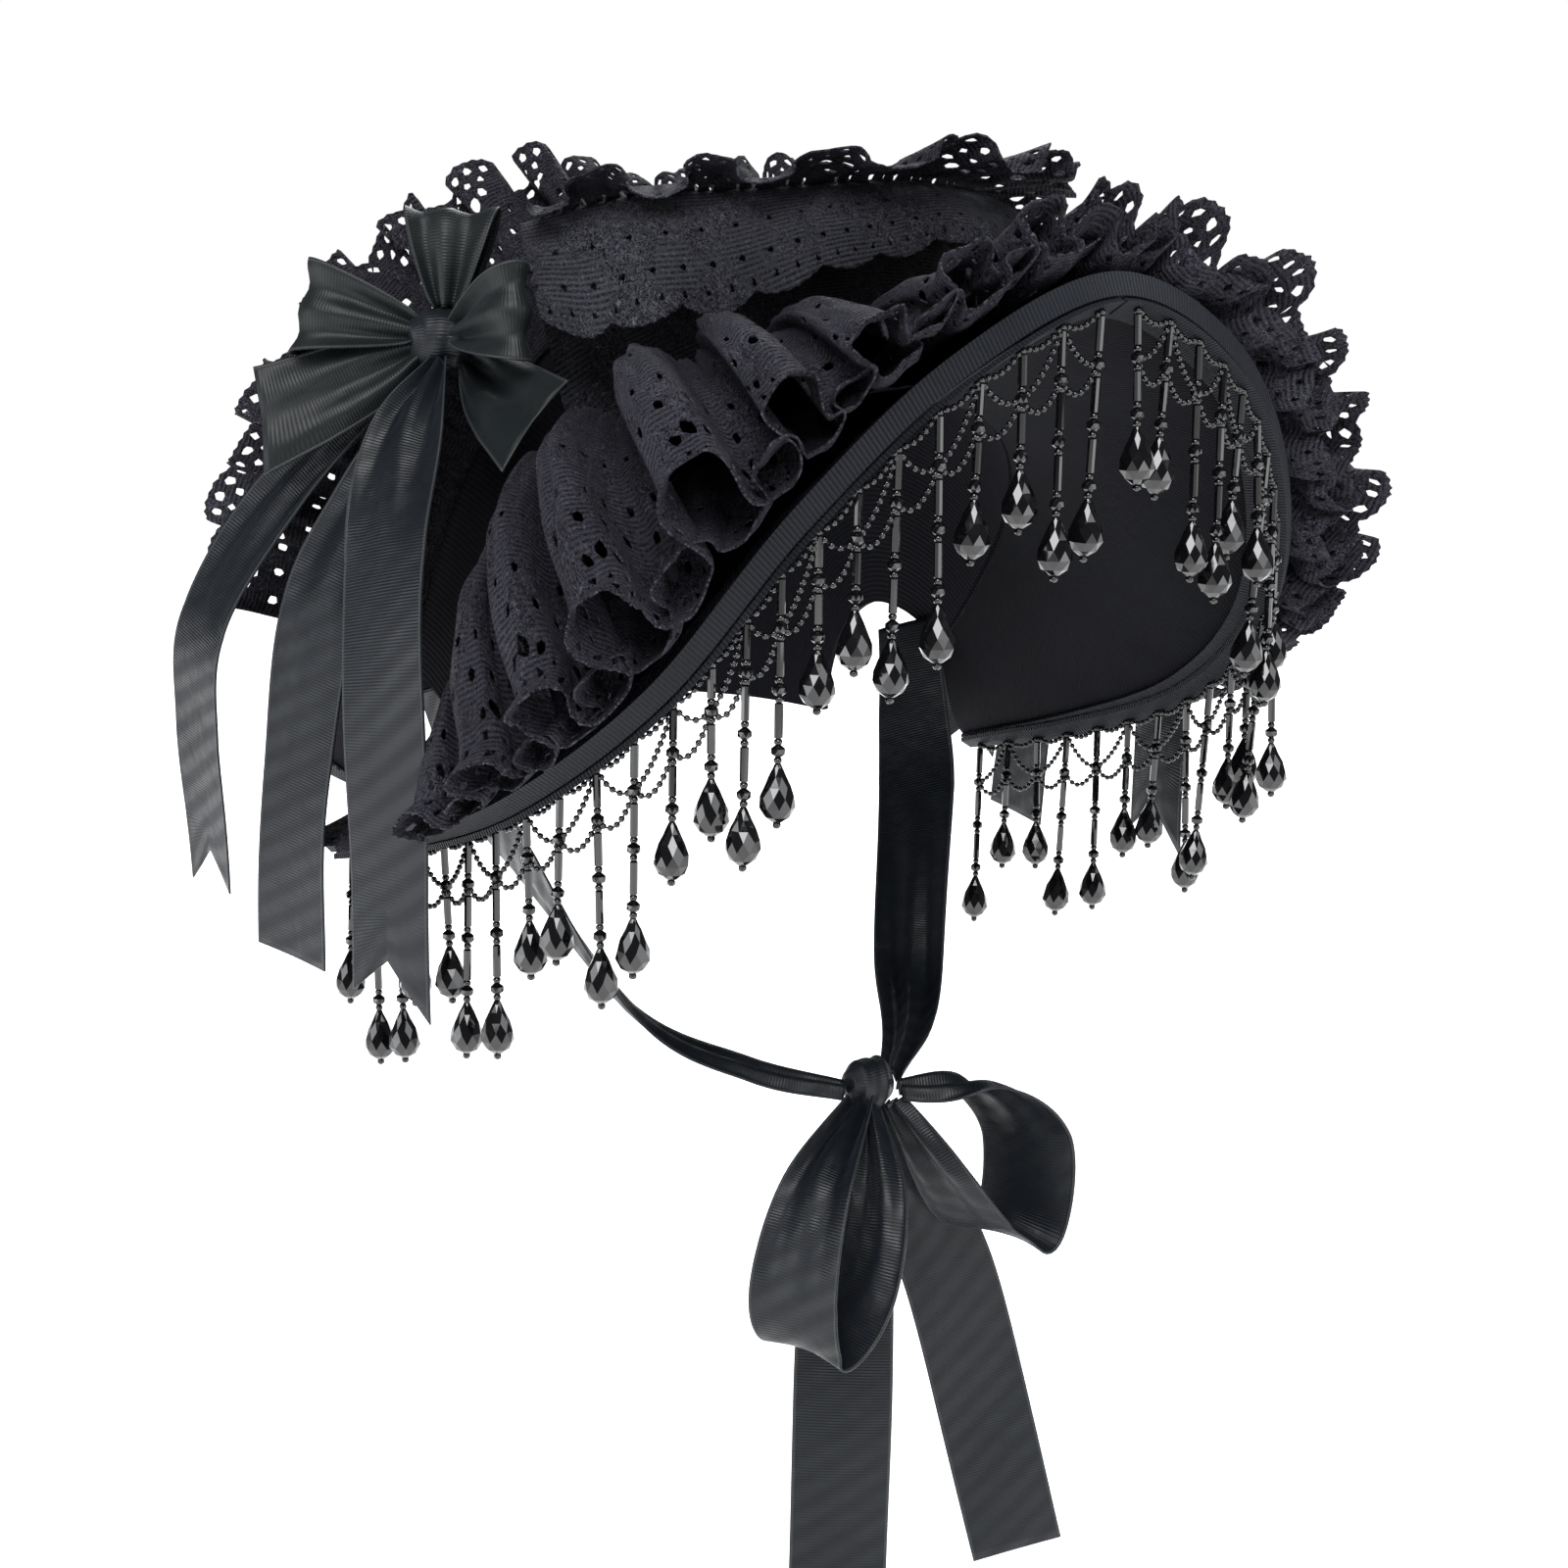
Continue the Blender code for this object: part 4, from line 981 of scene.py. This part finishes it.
def makeHemRibbon(h):
    # a ribbon sewn round the hem of the crown, its upper edge stitched down
    s = np.linspace(-0.992, 0.992, 161)
    high = math.pi - h["width"] * mm / form["crownBackReach"]
    turns = np.linspace(high, math.pi - 0.004, 5)
    gs, gt = np.meshgrid(s, turns, indexing="ij")
    out = crownFrame(gs, gt)[2]
    outer, inner = crownPoint(gs, gt) + out * (h["clear"] + h["wall"]), crownPoint(gs, gt) + out * h["clear"]
    along = arcLengths(outer[:, 0]) / mm
    uvs = np.stack([np.broadcast_to(along[:, None], gs.shape), (gt - high) * form["crownBackReach"] / mm],
        -1).reshape(-1, 2)
    made = slabObject("crown_hem_ribbon", outer, inner, uvs, grosgrain)
    declared(made)
    places = np.interp(np.arange(h["stitch"], along[-1], h["stitch"]), along, s)
    line = np.full_like(places, high + h["inset"] * mm / form["crownBackReach"])
    return crownPoint(places, line) + crownFrame(places, line)[2] * (h["clear"] + h["wall"])


print("ribbons")
hemStitches = makeHemRibbon(hemLook)
makeBow(1)
makeBow(-1)
makeChinRibbon()


# fringe: strands of bugles, round beads and faceted drops, with strings of seed beads between them

fringeForm = dict(
    strands=23, tape=6 * mm, tapeWall=1 * mm, short=38 * mm, long=53 * mm, drop=12.4 * mm, dropRadius=4 * mm, bugleRadius=0.95 * mm,
    round=1.65 * mm, roundLength=2.5 * mm, seed=0.95 * mm, seedLength=1.5 * mm, swagDip=4.5 * mm, swagStep=1.75 * mm, thread=0.22 * mm, lean=2.2,
)


def nodeTree(name, inputs):
    tree = bpy.data.node_groups.new(name, "GeometryNodeTree")
    tree.interface.new_socket("Geometry", in_out="OUTPUT", socket_type="NodeSocketGeometry")
    tree.interface.new_socket("Geometry", in_out="INPUT", socket_type="NodeSocketGeometry")
    for label, kind in inputs:
        tree.interface.new_socket(label, in_out="INPUT", socket_type=kind)
    return tree, tree.nodes.new("NodeGroupInput"), tree.nodes.new("NodeGroupOutput")


def beadTree():
    # one bead on every point, turned along the string
    tree, start, end = nodeTree("beadsOnString",
        (("Bead", "NodeSocketObject"), ("Size", "NodeSocketFloat"), ("Finish", "NodeSocketMaterial")))
    bead = tree.nodes.new("GeometryNodeObjectInfo")
    bead.transform_space = "ORIGINAL"
    bead.inputs["As Instance"].default_value = True
    axis = tree.nodes.new("GeometryNodeInputNamedAttribute")
    axis.data_type = "FLOAT_VECTOR"
    axis.inputs["Name"].default_value = "axis"
    stretch = tree.nodes.new("GeometryNodeInputNamedAttribute")
    stretch.data_type = "FLOAT_VECTOR"
    stretch.inputs["Name"].default_value = "stretch"
    aligned = tree.nodes.new("FunctionNodeAlignRotationToVector")
    aligned.axis = "Z"
    turn = tree.nodes.new("FunctionNodeRandomValue")
    turn.data_type = "FLOAT"
    turn.inputs[3].default_value = 6.28
    turn.inputs["Seed"].default_value = 5
    spin = tree.nodes.new("FunctionNodeRotateRotation")
    spin.rotation_space = "LOCAL"
    angles = tree.nodes.new("ShaderNodeCombineXYZ")
    scaled = tree.nodes.new("ShaderNodeVectorMath")
    scaled.operation = "SCALE"
    placed = tree.nodes.new("GeometryNodeInstanceOnPoints")
    realised = tree.nodes.new("GeometryNodeRealizeInstances")
    finish = tree.nodes.new("GeometryNodeSetMaterial")
    link = tree.links.new
    link(start.outputs["Geometry"], placed.inputs["Points"])
    link(start.outputs["Bead"], bead.inputs["Object"])
    link(bead.outputs["Geometry"], placed.inputs["Instance"])
    link(axis.outputs[0], aligned.inputs["Vector"])
    link(turn.outputs[1], angles.inputs[2])
    link(aligned.outputs[0], spin.inputs[0])
    link(angles.outputs[0], spin.inputs[1])
    link(spin.outputs[0], placed.inputs["Rotation"])
    link(stretch.outputs[0], scaled.inputs[0])
    link(start.outputs["Size"], scaled.inputs["Scale"])
    link(scaled.outputs[0], placed.inputs["Scale"])
    link(placed.outputs[0], realised.inputs[0])
    link(realised.outputs[0], finish.inputs[0])
    link(start.outputs["Finish"], finish.inputs["Material"])
    link(finish.outputs[0], end.inputs[0])
    return tree


def threadTree():
    tree, start, end = nodeTree("threadThrough",
        (("Radius", "NodeSocketFloat"), ("Sides", "NodeSocketInt"), ("Finish", "NodeSocketMaterial")))
    toCurve = tree.nodes.new("GeometryNodeMeshToCurve")
    circle = tree.nodes.new("GeometryNodeCurvePrimitiveCircle")
    toMesh = tree.nodes.new("GeometryNodeCurveToMesh")
    toMesh.inputs["Fill Caps"].default_value = True
    realised = tree.nodes.new("GeometryNodeRealizeInstances")
    finish = tree.nodes.new("GeometryNodeSetMaterial")
    link = tree.links.new
    link(start.outputs["Geometry"], toCurve.inputs[0])
    link(start.outputs["Radius"], circle.inputs["Radius"])
    link(start.outputs["Sides"], circle.inputs["Resolution"])
    link(toCurve.outputs[0], toMesh.inputs["Curve"])
    link(circle.outputs[0], toMesh.inputs["Profile Curve"])
    link(toMesh.outputs[0], realised.inputs[0])
    link(realised.outputs[0], finish.inputs[0])
    link(start.outputs["Finish"], finish.inputs["Material"])
    link(finish.outputs[0], end.inputs[0])
    return tree


def withTree(name, tree, mesh, values):
    made = bpy.data.objects.new(name, mesh)
    bonnet.objects.link(made)
    mod = made.modifiers.new("shape", "NODES")
    ids = {item.name: item.identifier for item in tree.interface.items_tree if item.in_out == "INPUT"}
    mod.node_group = tree
    for key, value in values.items():
        mod[ids[key]] = value
    return settle(made)


def beadShape(name, profile, sides, twist=False, smooth=False):
    # a turned bead, one unit long, or a cut one with its rings of facets set between each other
    bm = bmesh.new()
    rings = []
    for row, (z, r) in enumerate(profile):
        shift = 0.5 * (row % 2) if twist else 0.0
        rings.append([bm.verts.new((r * math.cos(2 * math.pi * (i + shift) / sides),
            r * math.sin(2 * math.pi * (i + shift) / sides), z)) for i in range(sides)])
    for row, (a, b) in enumerate(zip(rings, rings[1:])):
        for i in range(sides):
            j = (i + 1) % sides
            if twist and row % 2 == 0:
                bm.faces.new((a[i], a[j], b[i]))
                bm.faces.new((a[j], b[j], b[i]))
            elif twist:
                bm.faces.new((a[i], b[j], b[i]))
                bm.faces.new((a[i], a[j], b[j]))
            else:
                bm.faces.new((a[i], a[j], b[j], b[i]))
    bm.faces.new(rings[0])
    bm.faces.new(rings[-1])
    bmesh.ops.recalc_face_normals(bm, faces=bm.faces)
    mesh = bpy.data.meshes.new(name)
    bm.to_mesh(mesh)
    bm.free()
    mesh.polygons.foreach_set("use_smooth", [smooth] * len(mesh.polygons))
    made = bpy.data.objects.new(name, mesh)
    bonnet.objects.link(made)
    return made


def onPoints(name, places, axes, sizes, kind, finish):
    # a bead of one kind on every place, turned along its axis
    mesh = bpy.data.meshes.new(name)
    mesh.from_pydata([tuple(p) for p in places], [], [])
    for label, values in (("axis", axes), ("stretch", sizes)):
        layer = mesh.attributes.new(label, "FLOAT_VECTOR", "POINT")
        layer.data.foreach_set("vector", np.asarray(values, np.float32).ravel())
    return withTree(name, beadsOnString, mesh, {"Bead": beadKinds[kind], "Size": 1.0, "Finish": finish})


def makeStitches(name, points, size):
    # one short stitch on each point, along the row
    axes = unit(np.gradient(points, axis=0))
    made = onPoints(name, points, axes, np.broadcast_to(size, points.shape), "stitch", stitchFinish)
    made.name = made.data.name = name
    declared(made)


def tapePoint(s, w, depth=0.5):
    lower, back = bindingSection(s, 2 * form["bindingGap"] + form["bindingWall"] + fringeForm["tapeWall"] * depth)[2:]
    return lower + unit(back - lower) * (0.5 * mm + fringeForm["tape"] * col(w))


def edgeShares(count):
    fine = np.linspace(0, 1, 400)
    length = arcLengths(edgeLine(fine))
    return np.interp((np.arange(count) + 0.5) / count * length[-1], length, fine)


def strandBeads(longOne):
    # kind and length from the top down, bugles filling what the others leave
    f = fringeForm
    kinds = ["seed", "bugle", "seed", "round", "seed", "bugle", "seed",
        "round"] + (["seed", "bugle", "seed", "round"] if longOne else []) + ["seed", "drop", "seed"]
    sizes = {"seed": f["seedLength"], "round": f["roundLength"], "drop": f["drop"]}
    total = f["long"] if longOne else f["short"]
    spare = total + f["seedLength"] - sum(sizes.get(k, 0) for k in kinds)
    sizes["bugle"] = spare / kinds.count("bugle")
    return [(k, sizes[k]) for k in kinds]


def makeFringe(side, name, node):
    f = fringeForm
    points = {"seed": [], "round": [], "bugle": [], "drop": []}
    axes = {k: [] for k in points}
    stretches = {k: [] for k in points}
    strings, joints = [], []
    shares = edgeShares(f["strands"])
    for k, share in enumerate(shares, start=1):
        s = np.array([side * share])
        top = tapePoint(s, np.array([0.35]), 0.9)[0]
        number = k if side > 0 else 1 - k
        longOne = (number - 1) // 2 % 2 == 1
        lean = math.radians(f["lean"])
        tilt = np.array((math.sin(number * 2.4) * lean, math.cos(number * 3.7) * lean, -1.0))
        down = tilt / np.linalg.norm(tilt)
        place, knots, start = top.copy(), [], top - down * 0.3 * mm
        for kind, length in strandBeads(longOne):
            middle = place + down * length / 2
            points[kind].append(middle)
            axes[kind].append(-down)
            wide = {"seed": f["seed"], "round": f["round"], "bugle": f["bugleRadius"], "drop": f["dropRadius"]}[kind]
            stretches[kind].append((wide, wide, length))
            if kind in ("round", "seed"):
                knots.append((kind, middle))
            place = place + down * length
        strings.append(np.array([start, place - down * 0.4 * mm]))
        rounds = [m for kind, m in knots if kind == "round"]
        joints.append((top, knots[0][1], rounds[0], rounds[1]))
    for n, (a, b) in enumerate(zip(joints, joints[1:])):
        swags = [(a[2], b[2], f["swagDip"]),
            (a[1], b[2], f["swagDip"] * 0.55) if n % 2 else (a[2], b[1], f["swagDip"] * 0.55)]
        swags.append((a[0], b[0], f["swagDip"] * 0.5))
        for first, last, dip in swags:
            t = np.linspace(0, 1, 25)
            line = first + (last - first) * col(t) + at(0 * t, 0 * t, -dip * 4 * t * (1 - t))
            length = arcLengths(line)
            count = max(int(length[-1] / f["swagStep"]), 3)
            where = np.linspace(0, length[-1], count + 1)
            beads = np.stack([np.interp(where, length, line[:, i]) for i in range(3)], 1)
            strings.append(line)
            for i in range(1, count):
                points["seed"].append(beads[i])
                axes["seed"].append(unit(beads[i + 1] - beads[i - 1]))
                stretches["seed"].append((f["seed"] * 0.78, f["seed"] * 0.78, f["seedLength"] * 0.86))
    parts = []
    for kind, rows in points.items():
        parts.append(onPoints(name + kind, rows, axes[kind], stretches[kind], kind, glass))
    lines = bpy.data.meshes.new(name + "thread")
    verts, edges = [], []
    for string in strings:
        edges += [(len(verts) + i, len(verts) + i + 1) for i in range(len(string) - 1)]
        verts += [tuple(p) for p in string]
    lines.from_pydata(verts, edges, [])
    parts.append(withTree(name + "thread", threadThrough, lines,
        {"Radius": f["thread"], "Sides": 5, "Finish": threadFinish}))
    s = np.linspace(0.002, 1, 120) * side
    w = np.linspace(0, 1, 5)
    gs, gw = np.meshgrid(s, w, indexing="ij")
    upper = tapePoint(gs.ravel(), gw.ravel(), 0).reshape(*gs.shape, 3)
    lower = tapePoint(gs.ravel(), gw.ravel(), 1).reshape(*gs.shape, 3)
    uvs = np.stack([gs * 290, gw * 6], -1).reshape(-1, 2)
    parts.append(slabObject(name + "tape", upper, lower, uvs, grosgrain))
    joined = joinParts(name, parts)
    declared(joined, node)
    print(name, len(joined.data.polygons), "faces")


def joinParts(name, parts):
    bpy.ops.object.select_all(action="DESELECT")
    for part in parts:
        part.select_set(True)
    bpy.context.view_layer.objects.active = parts[0]
    bpy.ops.object.join()
    made = bpy.context.view_layer.objects.active
    made.name = made.data.name = name
    return made


print("fringe")
beadsOnString, threadThrough = beadTree(), threadTree()
beadKinds = {
    "seed": beadShape("seedBead", ((-0.5, 0.45), (-0.3, 0.88), (0.0, 1.0), (0.3, 0.88), (0.5, 0.45)), 7, smooth=True),
    "round": beadShape("roundBead", ((-0.5, 0.42), (-0.22, 0.93), (0.22, 0.93), (0.5, 0.42)), 8, twist=True),
    "bugle": beadShape("bugleBead", ((-0.5, 0.72), (-0.48, 0.98), (0.48, 0.98), (0.5, 0.72)), 8),
    "drop": beadShape("dropBead", ((-0.5, 0.30), (-0.40, 0.72), (-0.24, 0.98), (-0.06, 0.92), (0.12, 0.72),
        (0.30, 0.46), (0.44, 0.26), (0.5, 0.17)), 9, twist=True),
}
beadKinds["stitch"] = beadShape("stitch", ((-0.5, 0.4), (-0.3, 0.9), (0.0, 1.0), (0.3, 0.9), (0.5, 0.4)), 5,
    smooth=True)
stitchFinish = clothMaterial("stitchThread", (0.006, 0.006, 0.009), (0.03, 0.03, 0.04), 2.0, 0.3)
makeStitches("crown_hem_stitches", hemStitches, (0.28 * mm, 0.28 * mm, 2.6 * mm))
edgeRow = np.linspace(-0.985, 0.985, 250)
edgeBack = bindingSection(edgeRow, form["bindingGap"] + form["bindingWall"])
makeStitches("binding_stitches", edgeBack[0] + unit(edgeBack[1] - edgeBack[0]) * 1.2 * mm,
    (0.25 * mm, 0.25 * mm, 1.7 * mm))
makeFringe(1, "fringe_left_beads", "fringe_left")
makeFringe(-1, "fringe_right_beads", "fringe_right")
for helper in beadKinds.values():
    bpy.data.objects.remove(helper)


# floor

def makeFloor():
    low = min(v[2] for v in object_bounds()) - 0.2 * mm
    verts = [(-6, -6, low), (6, -6, low), (6, 6, low), (-6, 6, low)]
    floor = newObject("floor", verts, [(0, 1, 2, 3)], smooth=False)
    material, shader = newMaterial("paleFloor", 0.9, specular=0.1)
    shader.inputs["Base Color"].default_value = (0.93, 0.93, 0.93, 1)
    shader.inputs["Emission Color"].default_value = (1, 1, 1, 1)
    shader.inputs["Emission Strength"].default_value = 0.9
    floor.data.materials.append(material)
    floor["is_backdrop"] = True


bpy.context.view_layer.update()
makeFloor()
